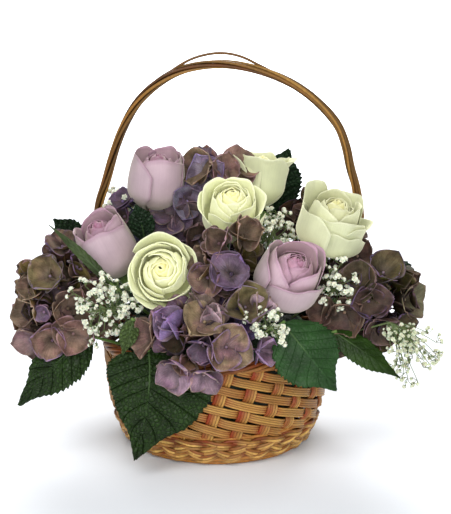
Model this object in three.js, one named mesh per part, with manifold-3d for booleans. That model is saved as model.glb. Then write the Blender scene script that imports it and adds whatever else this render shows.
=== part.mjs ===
// A flower basket arrangement: roses, hydrangea heads, sprays of baby's breath and serrated
// leaves standing in a block of floral foam, inside a round woven basket with an arched handle.
// Millimetres, +Z up, -Y is the front. Shapes are laid out around the basket's own axis, and
// the whole group is then moved so that the origin is the middle of its footprint.

import * as THREE from "three";
import { mergeVertices } from "three/addons/utils/BufferGeometryUtils.js";
import Module from "manifold-3d";

const wasm = await Module();
wasm.setup();

// ---------------------------------------------------------------- driving dimensions

const GAP = 0.35; // clearance between pieces that touch
const BLADE = 0.9; // thickness of a petal or a leaf
const PETIOLE = 1.6; // radius of a leaf's stalk
const STEM = 2.3; // radius of a bloom's stem
const SPRAY_STEM = 1.1; // radius of a spray's main stem
const TWIG = 0.45; // radius of a spray's twig

const FOOT_TOP = 33; // height of the braided foot border
const WALL_TOP = 98; // where the weave ends and the rim border starts
const RIM_TOP = 112;
const RIM_OUTER = 118; // widest radius of the basket
const WALL_THICKNESS = 5.5;
const FLOOR_UNDER = 2.5;
const FLOOR_TOP = 12;
const STAKES = 18; // upright stakes round the basket
const WEAVE_ROWS = 5; // rows of strips between foot and rim
const WEAVE_RELIEF = 2.2; // how far a strip or stake stands out of the weave
const STAKE_LEAN = 0.035; // radians that a stake leans in half a row

const FOAM_RADIUS = 90;
const FOAM_TOP = 127;
const FOCUS = new THREE.Vector3(0, 0, 70); // every stem points at this spot inside the foam
const STEM_START = 30; // how far from that spot the stems' cut ends are

const COLOURS = {
  cane: 0xb98a4a,
  darkCane: 0x8a5a2c,
  liner: 0x2c3a2a,
  foam: 0x3f6a3c,
  stem: 0x55703a,
  leaf: 0x2f4f2f,
  lightLeaf: 0x6a8a4a,
  white: 0xe8ead0,
  lavender: 0xc4aac0,
  mauve: 0x77607a,
  taupe: 0x6e5a52,
  lilac: 0x9c86a4,
  breath: 0xeef0e6,
};

// Blooms: the middle of each, the way it faces, its radius and height, and how open it is.
const ROSES = [
  { name: "rose_lavender_top", at: [-60, -5, 264], face: [0.1, -0.15, 1],
    radius: 29, height: 60, open: 0.1, turn: 0.3, colour: "lavender" },
  { name: "rose_lavender_left", at: [-106, -42, 206], face: [-0.35, -0.35, 0.85],
    radius: 30, height: 66, open: 0.15, turn: 1.1, colour: "lavender" },
  { name: "rose_lavender_front", at: [68, -86, 188], face: [0.3, -0.55, 0.75],
    radius: 32, height: 62, open: 0.2, turn: 2.0, colour: "lavender" },
  { name: "rose_white_middle", at: [14, -40, 245], face: [0.05, -0.6, 0.75],
    radius: 32, height: 52, open: 0.8, turn: 0.8, colour: "white" },
  { name: "rose_white_back", at: [43, 27, 258], face: [0.1, 0.1, 1],
    radius: 31, height: 54, open: 0.6, turn: 0.1, colour: "white" },
  { name: "rose_white_right", at: [110, -48, 231], face: [0.25, -0.3, 0.9],
    radius: 33, height: 58, open: 0.7, turn: 1.6, colour: "white" },
  { name: "rose_white_front", at: [-51, -86, 194], face: [-0.05, -0.93, 0.35],
    radius: 33, height: 50, open: 0.8, turn: 2.6, colour: "white" },
];

// Hydrangea heads: middle, radii and number of florets on the whole head.
const HEADS = [
  { name: "hydrangea_left", at: [-155, -40, 152], radii: [42, 34, 57], florets: 12, colour: "taupe" },
  { name: "hydrangea_top", at: [-8, 30, 248], radii: [40, 34, 40], florets: 10, colour: "mauve" },
  { name: "hydrangea_front", at: [-10, -105, 133], radii: [44, 33, 39], florets: 12, colour: "lilac" },
  { name: "hydrangea_right", at: [147, -48, 152], radii: [54, 35, 45], florets: 13, colour: "taupe" },
  { name: "hydrangea_middle", at: [15, -72, 179], radii: [31, 28, 38], florets: 8, colour: "mauve" },
  { name: "hydrangea_under_rose", at: [-58, 27, 214], radii: [42, 30, 32],
    florets: 8, colour: "mauve" },
  { name: "hydrangea_back_left", at: [-84, 68, 186], radii: [40, 38, 42], florets: 8, colour: "mauve" },
  { name: "hydrangea_back_right", at: [106, 46, 200], radii: [42, 38, 42],
    florets: 8, colour: "taupe" },
  { name: "hydrangea_back", at: [4, 96, 158], radii: [44, 36, 42], florets: 8, colour: "lilac" },
];

const PEAR = 0.72; // how near its base a leaf is widest: less is nearer
const HEART = 0.5;

// Leaves: where the blade starts, a point it bends over and its tip, its half width, the way
// its upper face looks, and its teeth on each edge. One is broad like a heart, and it leans:
// below zero, the half on its right is the wider one.
const LEAVES = [
  { name: "leaf_front_left", base: [-64, -113, 124], over: [-58, -136, 92], tip: [-77, -126, 20],
    half: 54, up: [0.05, -1, 0.25], teeth: 6, outline: HEART, lean: -0.24 },
  { name: "leaf_low_left", base: [-122, -79, 128], over: [-152, -94, 112], tip: [-192, -80, 58],
    half: 27, up: [-0.25, -0.85, 0.45], teeth: 6 },
  { name: "leaf_front_right", base: [62, -116, 152], over: [86, -136, 126], tip: [113, -122, 88],
    half: 32, up: [0.15, -1, 0.3], teeth: 6 },
  { name: "leaf_right_narrow", base: [112, -92, 136], over: [140, -104, 120], tip: [176, -92, 90],
    half: 14, up: [0.3, -0.9, 0.5], teeth: 6 },
  { name: "leaf_back_top", base: [56, 66, 212], over: [60, 74, 252], tip: [74, 64, 284],
    half: 26, up: [0, -1, 0.1], teeth: 5 },
  { name: "leaf_far_left", base: [-130, 24, 186], over: [-150, 26, 206], tip: [-164, 16, 222],
    half: 15, up: [-0.3, -0.8, 0.5], teeth: 5 },
  { name: "leaf_spear_left", base: [-100, -76, 178], over: [-128, -84, 212], tip: [-160, -64, 234],
    half: 5, up: [-0.3, -0.8, 0.5], teeth: 4 },
  { name: "leaf_middle", base: [-70, -38, 212], over: [-72, -44, 232], tip: [-78, -46, 250],
    half: 13, up: [0, -1, 0.2], teeth: 4 },
  { name: "leaf_far_right", base: [158, 26, 176], over: [186, 18, 172], tip: [204, 2, 138],
    half: 24, up: [0.2, -0.6, 0.8], teeth: 6 },
  { name: "leaf_small_front", base: [-78, -106, 152], over: [-82, -118, 142], tip: [-88, -120, 122],
    half: 9, up: [0, -1, 0.3], teeth: 4 },
  { name: "leaf_back_left", base: [-92, 94, 138], over: [-122, 112, 126], tip: [-146, 120, 86],
    half: 26, up: [-0.4, 0.8, 0.5], teeth: 5 },
  { name: "leaf_back_right", base: [96, 92, 138], over: [124, 110, 126], tip: [148, 116, 86],
    half: 26, up: [0.4, 0.8, 0.5], teeth: 5 },
  { name: "leaf_back_low", base: [-34, 120, 128], over: [-42, 140, 104], tip: [-46, 136, 56],
    half: 26, up: [0, 1, 0.3], teeth: 5 },
];

// Sprays of baby's breath: the middle of the cloud of flowers, its radii and flower count.
// A drooping spray also has a hub, where its stem ends above the cloud.
const SPRAYS = [
  { name: "spray_left", at: [-106, -88, 158], radii: [36, 22, 36], flowers: 10 },
  { name: "spray_top", at: [54, -22, 214], radii: [24, 18, 34], flowers: 8 },
  { name: "spray_right", at: [114, -78, 176], radii: [17, 17, 23], flowers: 7 },
  { name: "spray_far_right", at: [194, -84, 108], radii: [34, 18, 30],
    hub: [166, -92, 146], flowers: 7 },
  { name: "spray_front", at: [50, -128, 150], radii: [22, 12, 16], flowers: 7 },
  { name: "spray_top_left", at: [-98, 2, 246], radii: [13, 16, 14], flowers: 5 },
  { name: "spray_back", at: [42, 104, 196], radii: [30, 20, 26], flowers: 7 },
  { name: "spray_back_left", at: [-134, 60, 158], radii: [26, 24, 26], flowers: 6 },
];

const FLOWER = 3.4; // radius of one flower of baby's breath

// ---------------------------------------------------------------- solids and surfaces

function solidFrom(geometry) {
  const bare = geometry.index ? geometry.clone() : geometry;
  bare.deleteAttribute("normal");
  bare.deleteAttribute("uv");
  const merged = mergeVertices(bare, 1e-3);
  const corners = new Uint32Array(merged.index.array);
  const points = new Float32Array(merged.attributes.position.array);
  const made = new wasm.Manifold(new wasm.Mesh({ numProp: 3, vertProperties: points, triVerts: corners }));
  if (made.volume() >= 0) return made;
  for (let i = 0; i < corners.length; i += 3) {
    [corners[i + 1], corners[i + 2]] = [corners[i + 2], corners[i + 1]];
  }
  return new wasm.Manifold(new wasm.Mesh({ numProp: 3, vertProperties: points, triVerts: corners }));
}

function geometryFrom(solid) {
  const mesh = solid.getMesh();
  const geometry = new THREE.BufferGeometry();
  geometry.setAttribute("position", new THREE.BufferAttribute(new Float32Array(mesh.vertProperties), 3));
  geometry.setIndex(new THREE.BufferAttribute(new Uint32Array(mesh.triVerts), 1));
  geometry.computeVertexNormals();
  return geometry;
}

// The largest body of a solid: sealed hollows are filled and loose scraps are dropped.
function wholeBody(solid) {
  const bodies = solid.decompose();
  return bodies.reduce((best, body) => (body.volume() > best.volume() ? body : best));
}

const fused = (solids) => solids.reduce((whole, next) => whole.add(next));

function meshGeometry(points, corners) {
  const geometry = new THREE.BufferGeometry();
  const numbers = points.flatMap((point) => [point.x, point.y, point.z]);
  geometry.setAttribute("position", new THREE.Float32BufferAttribute(numbers, 3));
  geometry.setIndex(corners);
  return geometry;
}

// A thin closed plate on a curved surface, both faces split alike. surface(u, v) gives a
// point for u and v from 0 to 1.
function blade(surface, across, along, thickness = BLADE) {
  const middle = [];
  const normals = [];
  const step = 0.01;
  for (let j = 0; j <= along; j += 1) {
    for (let i = 0; i <= across; i += 1) {
      const u = i / across;
      const v = j / along;
      const here = surface(u, v);
      const du = surface(u + step, v).sub(surface(u - step, v));
      const dv = surface(u, v + step).sub(surface(u, v - step));
      middle.push(here);
      normals.push(du.cross(dv).normalize());
    }
  }
  const half = thickness / 2;
  const offset = (side) => middle.map((point, k) => point.clone().addScaledVector(normals[k], side * half));
  const points = [...offset(1), ...offset(-1)];
  const under = middle.length;
  const at = (i, j) => j * (across + 1) + i;
  const corners = [];
  for (let j = 0; j < along; j += 1) {
    for (let i = 0; i < across; i += 1) {
      const [a, b, c, d] = [at(i, j), at(i + 1, j), at(i + 1, j + 1), at(i, j + 1)];
      const halves = i < across / 2 ? [[a, b, d], [b, c, d]] : [[a, b, c], [a, c, d]];
      for (const [p, q, r] of halves) corners.push(p, q, r, p + under, r + under, q + under);
    }
  }
  const wall = (p, q) => corners.push(p, p + under, q, q, p + under, q + under);
  for (let i = 0; i < across; i += 1) {
    wall(at(i, 0), at(i + 1, 0));
    wall(at(i + 1, along), at(i, along));
  }
  for (let j = 0; j < along; j += 1) {
    wall(at(across, j), at(across, j + 1));
    wall(at(0, j + 1), at(0, j));
  }
  return solidFrom(meshGeometry(points, corners));
}

// A closed skin round the Z axis. ring(column, row) gives [angle, radius, height] of a
// point. With poles, the first and last rows are single points on the axis; without,
// the last row joins the first and the body is a ring.
function turned(columns, rows, ring, poles) {
  const points = [];
  const place = ([angle, radius, height]) =>
    new THREE.Vector3(radius * Math.cos(angle), radius * Math.sin(angle), height);
  for (let j = 0; j < rows; j += 1) {
    for (let i = 0; i < columns; i += 1) points.push(place(ring(i, j)));
  }
  const at = (i, j) => (j % rows) * columns + (i % columns);
  const corners = [];
  const bands = poles ? rows - 1 : rows;
  for (let j = 0; j < bands; j += 1) {
    for (let i = 0; i < columns; i += 1) {
      corners.push(at(i, j), at(i + 1, j), at(i + 1, j + 1), at(i, j), at(i + 1, j + 1), at(i, j + 1));
    }
  }
  if (poles) {
    points.push(new THREE.Vector3(0, 0, poles[0]), new THREE.Vector3(0, 0, poles[1]));
    const [first, last] = [points.length - 2, points.length - 1];
    for (let i = 0; i < columns; i += 1) {
      corners.push(first, at(i + 1, 0), at(i, 0), last, at(i, rows - 1), at(i + 1, rows - 1));
    }
  }
  return solidFrom(meshGeometry(points, corners));
}

function lathe(outline, columns) {
  const profile = outline.map(([radius, height]) => new THREE.Vector2(radius, height));
  const geometry = new THREE.LatheGeometry(profile, columns);
  geometry.rotateX(Math.PI / 2);
  return solidFrom(geometry);
}

// A straight stem between two points.
function rod(from, to, startRadius, endRadius, sides) {
  const along = to.clone().sub(from);
  const geometry = new THREE.CylinderGeometry(endRadius, startRadius, along.length(), sides);
  const turn = new THREE.Quaternion().setFromUnitVectors(new THREE.Vector3(0, 1, 0), along.normalize());
  geometry.applyQuaternion(turn);
  const middle = from.clone().add(to).multiplyScalar(0.5);
  geometry.translate(middle.x, middle.y, middle.z);
  return solidFrom(geometry);
}

// A frame at a point whose Z axis is the given direction.
function frameAt(point, direction, turn = 0) {
  const z = direction.clone().normalize();
  const x = new THREE.Vector3(0, -1, 0).cross(z).normalize();
  const y = z.clone().cross(x);
  const basis = new THREE.Matrix4().makeBasis(x, y, z);
  return new THREE.Matrix4().makeTranslation(point.x, point.y, point.z)
    .multiply(basis)
    .multiply(new THREE.Matrix4().makeRotationZ(turn));
}

function placed(solid, matrix) {
  return solid.transform(matrix.elements);
}

function seededDraw(seed) {
  let state = seed;
  return () => {
    state = (state * 1664525 + 1013904223) % 4294967296;
    return state / 4294967296;
  };
}

const vector = ([x, y, z]) => new THREE.Vector3(x, y, z);
const mix = THREE.MathUtils.lerp;

// ---------------------------------------------------------------- basket

function wallRadius(height) {
  const outline = [[FLOOR_UNDER, 79], [FOOT_TOP, 101], [43, 106], [64, 109], [78, 109.5], [WALL_TOP, 112]];
  for (let k = 1; k < outline.length; k += 1) {
    const [[lowZ, lowR], [highZ, highR]] = [outline[k - 1], outline[k]];
    if (height <= highZ) return mix(lowR, highR, (height - lowZ) / (highZ - lowZ));
  }
  return outline.at(-1)[1];
}

// The woven bowl: strips and stakes stand out of it in turn, by rows and columns.
function basketWall() {
  const columns = STAKES * 2;
  const weaveRows = WEAVE_ROWS * 2;
  const outside = [FLOOR_UNDER, FOOT_TOP];
  for (let row = 1; row <= weaveRows; row += 1) {
    outside.push(mix(FOOT_TOP, WALL_TOP, row / weaveRows));
  }
  const inside = [WALL_TOP, FOOT_TOP, FLOOR_TOP];
  const ring = (column, row) => {
    const lean = Math.max(0, row - 1) * STAKE_LEAN;
    const angle = (column / columns) * 2 * Math.PI - lean;
    if (row >= outside.length) {
      const height = inside[row - outside.length];
      return [angle, wallRadius(height) - WALL_THICKNESS, height];
    }
    const inWeave = row >= 2 && row < outside.length - 1;
    const inCell = column % 2 === 1 && row % 2 === 0;
    const stripOver = inCell && (row / 2 + (column - 1) / 2) % 2 === 0;
    const relief = inWeave ? (stripOver ? 0.8 : inCell ? 0.1 : -0.5) * WEAVE_RELIEF : 0;
    return [angle, wallRadius(outside[row]) + relief, outside[row]];
  };
  return turned(columns, outside.length + inside.length, ring, [FLOOR_UNDER, FLOOR_TOP]);
}

// The braided foot: slanting strands round a ring that stands flat on the table.
function footBraid() {
  const columns = 36;
  const outline = [[80.5, 0], [87, 0], [94.5, 8], [100.5, 17], [105.5, 28], [102.6, FOOT_TOP], [100.9, 32]];
  return turned(columns, outline.length, (column, row) => {
    const [radius, height] = outline[row];
    const bulge = row >= 2 && row <= 4 ? 1.3 * Math.cos((column + row) * Math.PI) : 0;
    const lift = row === 4 ? 1.2 * Math.cos(column * Math.PI / 2) : 0;
    return [(column / columns) * 2 * Math.PI, radius + bulge, height + lift];
  });
}

// The border that binds the weave's top edge.
function rimBraid() {
  const columns = 32;
  const middle = [112, 105];
  const sides = 5;
  return turned(columns, sides, (column, row) => {
    const turn = (row / sides) * 2 * Math.PI - Math.PI / 2 + 0.3;
    const strand = 1 + 0.1 * Math.cos(column * Math.PI + row * 2);
    const radius = middle[0] + 5.6 * strand * Math.cos(turn);
    return [(column / columns) * 2 * Math.PI, radius, middle[1] + 5.9 * strand * Math.sin(turn) + 0.4];
  });
}

const HANDLE_RADIUS = 4.4;
const HANDLE_LOBE = 0.55;
const HANDLE_PATH = new THREE.CatmullRomCurve3([
  [-107, 0, 62], [-110, 1, 92], [-115, 3, 122], [-118, 4, 160], [-118.5, 5, 205], [-117, 5, 238],
  [-109.5, 5, 264], [-100.8, 5, 293], [-92.3, 5, 316], [-79.2, 5, 339], [-62.8, 5, 356.5],
  [-41.9, 5, 370], [-19.5, 5, 377], [5.1, 5, 379], [31.4, 5, 375.5], [58.5, 5, 367],
  [82.3, 5, 354.5], [102.8, 5, 338], [118.4, 5, 319], [127.3, 5, 298], [132.7, 5, 275],
  [138.4, 5, 254], [142, 5, 230], [140, 4, 195], [131, 3, 155], [118, 1, 120], [110, 0, 92],
  [107, 0, 62],
].map(vector), false, "centripetal");

// The handle is a bundle of four canes twisted together: a lobed section that turns.
function handleTube({ radius, lobe, sides, twist }) {
  const steps = 36;
  const points = [];
  for (let step = 0; step <= steps; step += 1) {
    const place = HANDLE_PATH.getPointAt(step / steps);
    const along = HANDLE_PATH.getTangentAt(step / steps);
    const out = new THREE.Vector3(0, 1, 0);
    const side = along.clone().cross(out).normalize();
    for (let k = 0; k < sides; k += 1) {
      const turn = (k / sides) * 2 * Math.PI + (step / steps) * twist;
      const reach = radius + (k % 2 ? -lobe : lobe);
      points.push(place.clone()
        .addScaledVector(out, reach * Math.cos(turn))
        .addScaledVector(side, reach * Math.sin(turn)));
    }
  }
  const corners = [];
  for (let step = 0; step < steps; step += 1) {
    for (let k = 0; k < sides; k += 1) {
      const [a, b] = [step * sides + k, step * sides + ((k + 1) % sides)];
      corners.push(a, b, b + sides, a, b + sides, a + sides);
    }
  }
  const last = steps * sides;
  for (let k = 1; k < sides - 1; k += 1) {
    corners.push(0, k + 1, k, last, last + k, last + k + 1);
  }
  return solidFrom(meshGeometry(points, corners));
}

const handle = () => handleTube({ radius: HANDLE_RADIUS, lobe: HANDLE_LOBE, sides: 8, twist: 9 });

// The room that the handle takes, with clearance: plain, and a little wider than its lobes.
function handleRoom() {
  const sides = 8;
  const radius = (HANDLE_RADIUS + HANDLE_LOBE + GAP) / Math.cos(Math.PI / sides);
  return handleTube({ radius, lobe: 0, sides, twist: 0 });
}

// One cane of the handle has sprung loose and bows a little above it.
function looseCane() {
  const radius = 1.3;
  const lift = HANDLE_RADIUS + HANDLE_LOBE + GAP + radius + 0.3;
  const path = new THREE.CatmullRomCurve3([
    [-54, 5, 362.6 + lift], [-44, 5, 369 + lift], [-26, 5, 375.8 + lift + 1.5], [-10, 5, 378.8 + lift + 3],
    [6, 5, 379 + lift + 4], [23, 5, 377.4 + lift + 3.2], [42, 5, 372.8 + lift + 1], [58, 5, 367.6 + lift],
  ].map(vector));
  const section = new THREE.Shape();
  const sides = 6;
  section.moveTo(radius, 0);
  for (let k = 1; k < sides; k += 1) {
    const turn = (k / sides) * 2 * Math.PI;
    section.lineTo(radius * Math.cos(turn), radius * Math.sin(turn));
  }
  const sweep = { steps: 14, extrudePath: path, bevelEnabled: false };
  return solidFrom(new THREE.ExtrudeGeometry(section, sweep));
}

const liner = () => lathe([
  [0, FLOOR_TOP + GAP], [71, FLOOR_TOP + GAP], [97, 64], [97, 96],
  [95.5, 96], [95.5, 64], [70, FLOOR_TOP + GAP + 1.5], [0, FLOOR_TOP + GAP + 1.5],
], 20);

function foamOutline(extra) {
  return [
    [0, 14.6 - extra], [66, 14.6 - extra], [FOAM_RADIUS + extra, 66], [FOAM_RADIUS + extra, 116 + extra],
    [80 + extra, 124 + extra], [0, FOAM_TOP + extra],
  ];
}

// Space that flowers and leaves stay out of: the basket to its rim, and the foam's crown.
function basketKeepOut() {
  const clear = RIM_OUTER + 1.5;
  const rim = [[0, -1], [clear, -1], [clear, RIM_TOP + 0.6], [0, RIM_TOP + 0.6]];
  return lathe(rim, 24).add(lathe(foamOutline(0.6), 20));
}

// ---------------------------------------------------------------- flowers

const towards = (point) => point.clone().sub(FOCUS).normalize();

// The stem's straight run from the foam to a point, past it by some length.
function stemTo(point, radius, extra = 0, past = 0) {
  const sides = radius < STEM ? 4 : 5;
  const way = towards(point);
  const start = FOCUS.clone().addScaledVector(way, STEM_START - extra);
  const end = point.clone().addScaledVector(way, past + extra);
  return rod(start, end, radius + extra, radius + extra, sides);
}

// A rose's calyx: a small knob under the bloom with five pointed sepals turned down.
const SEPAL_REACH = 17;
const CALYX_DEPTH = 13;
function calyx() {
  const columns = 10;
  const ring = (column, row) => {
    const sepal = row === 0 && column % 2 === 0;
    const radius = sepal ? SEPAL_REACH : 7;
    return [(column / columns) * 2 * Math.PI, radius, row === 1 ? -GAP : sepal ? -9.5 : -6];
  };
  return turned(columns, 2, ring, [-CALYX_DEPTH, -GAP]);
}

// A rose: one body whose skin climbs each layer of petals to its scalloped lip, dips into
// the groove behind it and climbs the next layer, up to the rolled heart.
function rose({ radius, height, open }) {
  const petals = 5;
  const columns = petals * 3;
  const lip = 1.2;
  const layers = [
    { reach: 1, top: 0.84 - 0.14 * open, curl: 0.05 + 0.1 * open, groove: 0.5, phase: 0 },
    { reach: 0.78, top: 0.95 - 0.05 * open, curl: 0.03 + 0.06 * open, groove: 0.66, phase: 0.5 },
    { reach: 0.52, top: 1, curl: 0, groove: 0.8, phase: 0.2 },
  ];
  const rows = [
    { r: 6, z: 0, wave: 0, phase: 0 },
    { r: 0.72 * radius, z: 0.2 * height, wave: 0.3, phase: 0 },
  ];
  layers.forEach(({ reach, top, curl, groove, phase }, level) => {
    const belly = reach * radius;
    if (level === 0) rows.push({ r: belly, z: (top - 0.26) * height, wave: 0.7, phase });
    rows.push({ r: belly * (1 + curl), z: top * height, wave: 1, phase });
    rows.push({ r: belly * (1 + curl) - lip - 1, z: top * height - 0.3, wave: 1, phase });
    const inner = (layers[level + 1]?.reach ?? 0.3) * radius;
    rows.push({ r: Math.min(inner + 1.5, belly - 3), z: groove * height, wave: 0.3, phase });
  });
  rows.push({ r: 0.24 * radius, z: 0.95 * height, wave: 0.5, phase: 0.7 });
  const body = turned(columns, rows.length, (column, row) => {
    const { r, z, wave, phase } = rows[row];
    const across = ((column / columns) * petals + phase) % 1;
    const scallop = Math.abs(Math.sin(Math.PI * across));
    const tuck = (across - 0.5) * 0.06 * radius * wave;
    const drop = wave * 0.13 * height * (1 - scallop);
    return [(column / columns) * 2 * Math.PI, r + tuck, z - drop];
  }, [0, 0.82 * height]);
  return body;
}

// One four-lobed floret of a hydrangea, cupped, lying on its own XY plane.
function floret(size, cup) {
  const outline = 8;
  const points = [];
  for (const side of [1, -1]) {
    for (let k = 0; k < outline; k += 1) {
      const turn = (k / outline) * 2 * Math.PI;
      const reach = k % 2 ? size * 0.55 : size;
      const rise = (k % 2 ? 0.4 : 1) * cup;
      points.push(new THREE.Vector3(reach * Math.cos(turn), reach * Math.sin(turn), rise + side * 0.55));
    }
  }
  points.push(new THREE.Vector3(0, 0, 0.55), new THREE.Vector3(0, 0, -6));
  const [above, below] = [2 * outline, 2 * outline + 1];
  const corners = [];
  for (let k = 0; k < outline; k += 1) {
    const next = (k + 1) % outline;
    corners.push(above, k, next, below, outline + next, outline + k);
    corners.push(k, outline + k, next, next, outline + k, outline + next);
  }
  return solidFrom(meshGeometry(points, corners));
}

// Directions spread evenly over a sphere.
function evenDirections(count) {
  const golden = Math.PI * (3 - Math.sqrt(5));
  return Array.from({ length: count }, (_, k) => {
    const z = 1 - (2 * k + 1) / count;
    const r = Math.sqrt(1 - z * z);
    return new THREE.Vector3(r * Math.cos(golden * k), r * Math.sin(golden * k), z);
  });
}

const CORE = 0.8; // a head's core, as a share of its radii
const FLORET_SEAT = 0.85; // where its florets lie

// A hydrangea head: a core that cupped florets stand out of on every free side. A floret
// whose middle would lie in space that is already taken is left out.
function hydrangea(spec, seed, taken) {
  const draw = seededDraw(seed);
  const centre = vector(spec.at);
  const radii = vector(spec.radii);
  const core = new THREE.IcosahedronGeometry(CORE, 1);
  core.scale(radii.x, radii.y, radii.z);
  core.translate(centre.x, centre.y, centre.z);
  const pieces = [solidFrom(core)];
  const inward = towards(centre).negate();
  const area = (radii.x * radii.y + radii.y * radii.z + radii.z * radii.x) / 3;
  const size = 1.88 * Math.sqrt(area / spec.florets);
  for (const direction of evenDirections(spec.florets)) {
    if (direction.dot(inward) > 0.62) continue;
    const place = centre.clone().add(direction.clone().multiply(radii).multiplyScalar(FLORET_SEAT));
    const probe = new THREE.OctahedronGeometry(1).translate(place.x, place.y, place.z);
    const middle = solidFrom(probe);
    if (taken.some((space) => !space.intersect(middle).isEmpty())) continue;
    const out = direction.clone().divide(radii).normalize();
    out.add(new THREE.Vector3(draw() - 0.5, draw() - 0.5, draw() - 0.5).multiplyScalar(0.35));
    const shape = floret(size * mix(0.9, 1.06, draw()), 2.5);
    pieces.push(placed(shape, frameAt(place, out, draw() * Math.PI)));
  }
  return fused(pieces);
}

// The space that a rose and its calyx fill, which later pieces keep out of.
function roseSpace({ radius, height, open, frame }) {
  const reach = radius * (1.09 + 0.1 * open) + 1;
  const outline = [
    [0, -CALYX_DEPTH - 1], [SEPAL_REACH + 1, -11], [SEPAL_REACH + 1, 0], [0.8 * reach, 0.18 * height],
    [reach, 0.5 * height], [reach, 0.9 * height], [0.7 * reach, height + 1], [0, height + 1],
  ];
  const sides = 12;
  const cover = 1 / Math.cos(Math.PI / sides);
  return placed(lathe(outline.map(([r, z]) => [r * cover, z]), sides), frame);
}

// The rounded space that a hydrangea head fills.
function headSpace({ at, radii }) {
  const ball = new THREE.SphereGeometry(1, 10, 7);
  ball.scale(...radii.map((radius) => radius * 1.1 + 5));
  ball.translate(...at);
  return solidFrom(ball);
}

// ---------------------------------------------------------------- leaves and sprays

// A serrated leaf folded along its midrib, on a stalk that stands in the foam.
function leafBlade(spec) {
  const [base, over, tip] = [spec.base, spec.over, spec.tip].map(vector);
  const rib = new THREE.QuadraticBezierCurve3(base, over, tip);
  const up = vector(spec.up).normalize();
  const along = spec.teeth * 2;
  return blade((u, v) => {
    const t = Math.min(1, Math.max(0, v));
    const place = rib.getPoint(t);
    const way = rib.getTangent(t);
    const side = way.clone().cross(up).normalize();
    const face = side.clone().cross(way).normalize();
    const across = u * 2 - 1;
    const tooth = 1 + 0.07 * Math.cos(t * along * Math.PI);
    const outline = Math.sin(Math.PI * Math.pow(mix(0.03, 0.985, t), spec.outline ?? PEAR));
    const width = spec.half * tooth * Math.pow(outline, 0.8) * (1 + (spec.lean ?? 0) * across);
    const fold = 0.2 * Math.abs(across) * width;
    const sweep = spec.outline ? mix(-0.1, 0.3, t) : 0.22;
    const wave = 0.05 * spec.half * Math.sin(t * 7 + across * 2) * Math.abs(across);
    return place.addScaledVector(side, across * width)
      .addScaledVector(face, wave - fold)
      .addScaledVector(way, sweep * Math.abs(across) * width);
  }, 2, along);
}

// A twig with a flower at its end, as one slim body that widens at the tip.
function twig(from, to) {
  const length = from.distanceTo(to);
  const rows = [[TWIG, 0], [TWIG, length - 0.6 * FLOWER], [FLOWER, length]];
  const sides = 3;
  const ring = (column, row) => [(column / sides) * 2 * Math.PI, ...rows[row]];
  const shape = turned(sides, rows.length, ring, [-1, length + 0.8 * FLOWER]);
  return placed(shape, frameAt(from, to.clone().sub(from)));
}

// The part of a spray's stem that carries its twigs, as two points.
function sprayStem(spec) {
  const centre = vector(spec.at);
  const way = towards(spec.hub ? vector(spec.hub) : centre);
  const reach = Math.min(...spec.radii);
  const end = spec.hub ? vector(spec.hub) : centre.clone().addScaledVector(way, 0.35 * reach);
  const length = spec.hub ? 0.4 * reach : 1.05 * reach;
  return [end.clone().addScaledVector(way, -length), end];
}

// The twigs of one spray: they leave its stem one after another and end in a cloud.
function sprayTwigs(spec, seed) {
  const draw = seededDraw(seed);
  const centre = vector(spec.at);
  const radii = vector(spec.radii);
  const [low, high] = sprayStem(spec);
  return evenDirections(spec.flowers).map((direction, k) => {
    const reach = mix(0.75, 1, draw());
    const end = centre.clone().add(direction.clone().multiply(radii).multiplyScalar(reach));
    const start = low.clone().lerp(high, (k + 0.5) / spec.flowers);
    return twig(start, end);
  });
}

// ---------------------------------------------------------------- fitting pieces together

const finished = []; // pieces already placed, with their names and colours

function keep(name, solid, colour, roughness = 0.7) {
  finished.push({ name, solid: wholeBody(solid), colour, roughness });
}

const isClear = (solid, others) => others.every((other) => solid.minGap(other, GAP + 0.05) >= GAP);

const keepOut = basketKeepOut();
const handleSpace = handleRoom();
const linerBody = liner();

// Stems first: each is a straight run, and the foam gets a plain hole for it.
const stems = [];
function addStem(point, radius, past) {
  stems.push({ solid: stemTo(point, radius, 0, past), hole: stemTo(point, radius, GAP, past) });
  return stems.at(-1);
}

for (const spec of ROSES) {
  spec.axis = vector(spec.face).normalize();
  spec.base = vector(spec.at).addScaledVector(spec.axis, -spec.height / 2);
  spec.frame = frameAt(spec.base, spec.axis, spec.turn);
  spec.stem = addStem(spec.base, STEM, 5);
}
for (const spec of HEADS) {
  const reach = 0.45 * Math.min(...spec.radii);
  spec.neck = vector(spec.at).addScaledVector(towards(vector(spec.at)), -reach);
  spec.stem = addStem(spec.neck, STEM, 0);
}
for (const spec of LEAVES) spec.stem = addStem(vector(spec.base), PETIOLE, 3);
for (const spec of SPRAYS) spec.stem = addStem(sprayStem(spec)[1], SPRAY_STEM, 0);

const foam = stems.reduce((block, stem) => block.subtract(stem.hole), lathe(foamOutline(0), 20));
const rimBody = rimBraid().subtract(handleSpace);
const wallBody = basketWall().subtract(handleSpace);

keep("basket_wall", wallBody, "cane");
keep("foot_braid", footBraid(), "cane");
keep("rim_braid", rimBody, "cane");
keep("handle", handle(), "darkCane");
keep("handle_loose_cane", looseCane(), "darkCane");
keep("liner", linerBody, "liner");
keep("foam", foam, "foam");

// Roses, then hydrangea heads: each gives way to the stems and blooms placed before it.
const spaces = [keepOut, handleSpace];
const bloomSpaces = [];
function fittedBloom(body, ownStem) {
  let fitted = body;
  for (const space of [...spaces, ...bloomSpaces]) fitted = fitted.subtract(space);
  for (const stem of stems) {
    if (stem !== ownStem) fitted = fitted.subtract(stem.hole);
  }
  return wholeBody(fitted.subtract(ownStem.hole));
}

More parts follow.
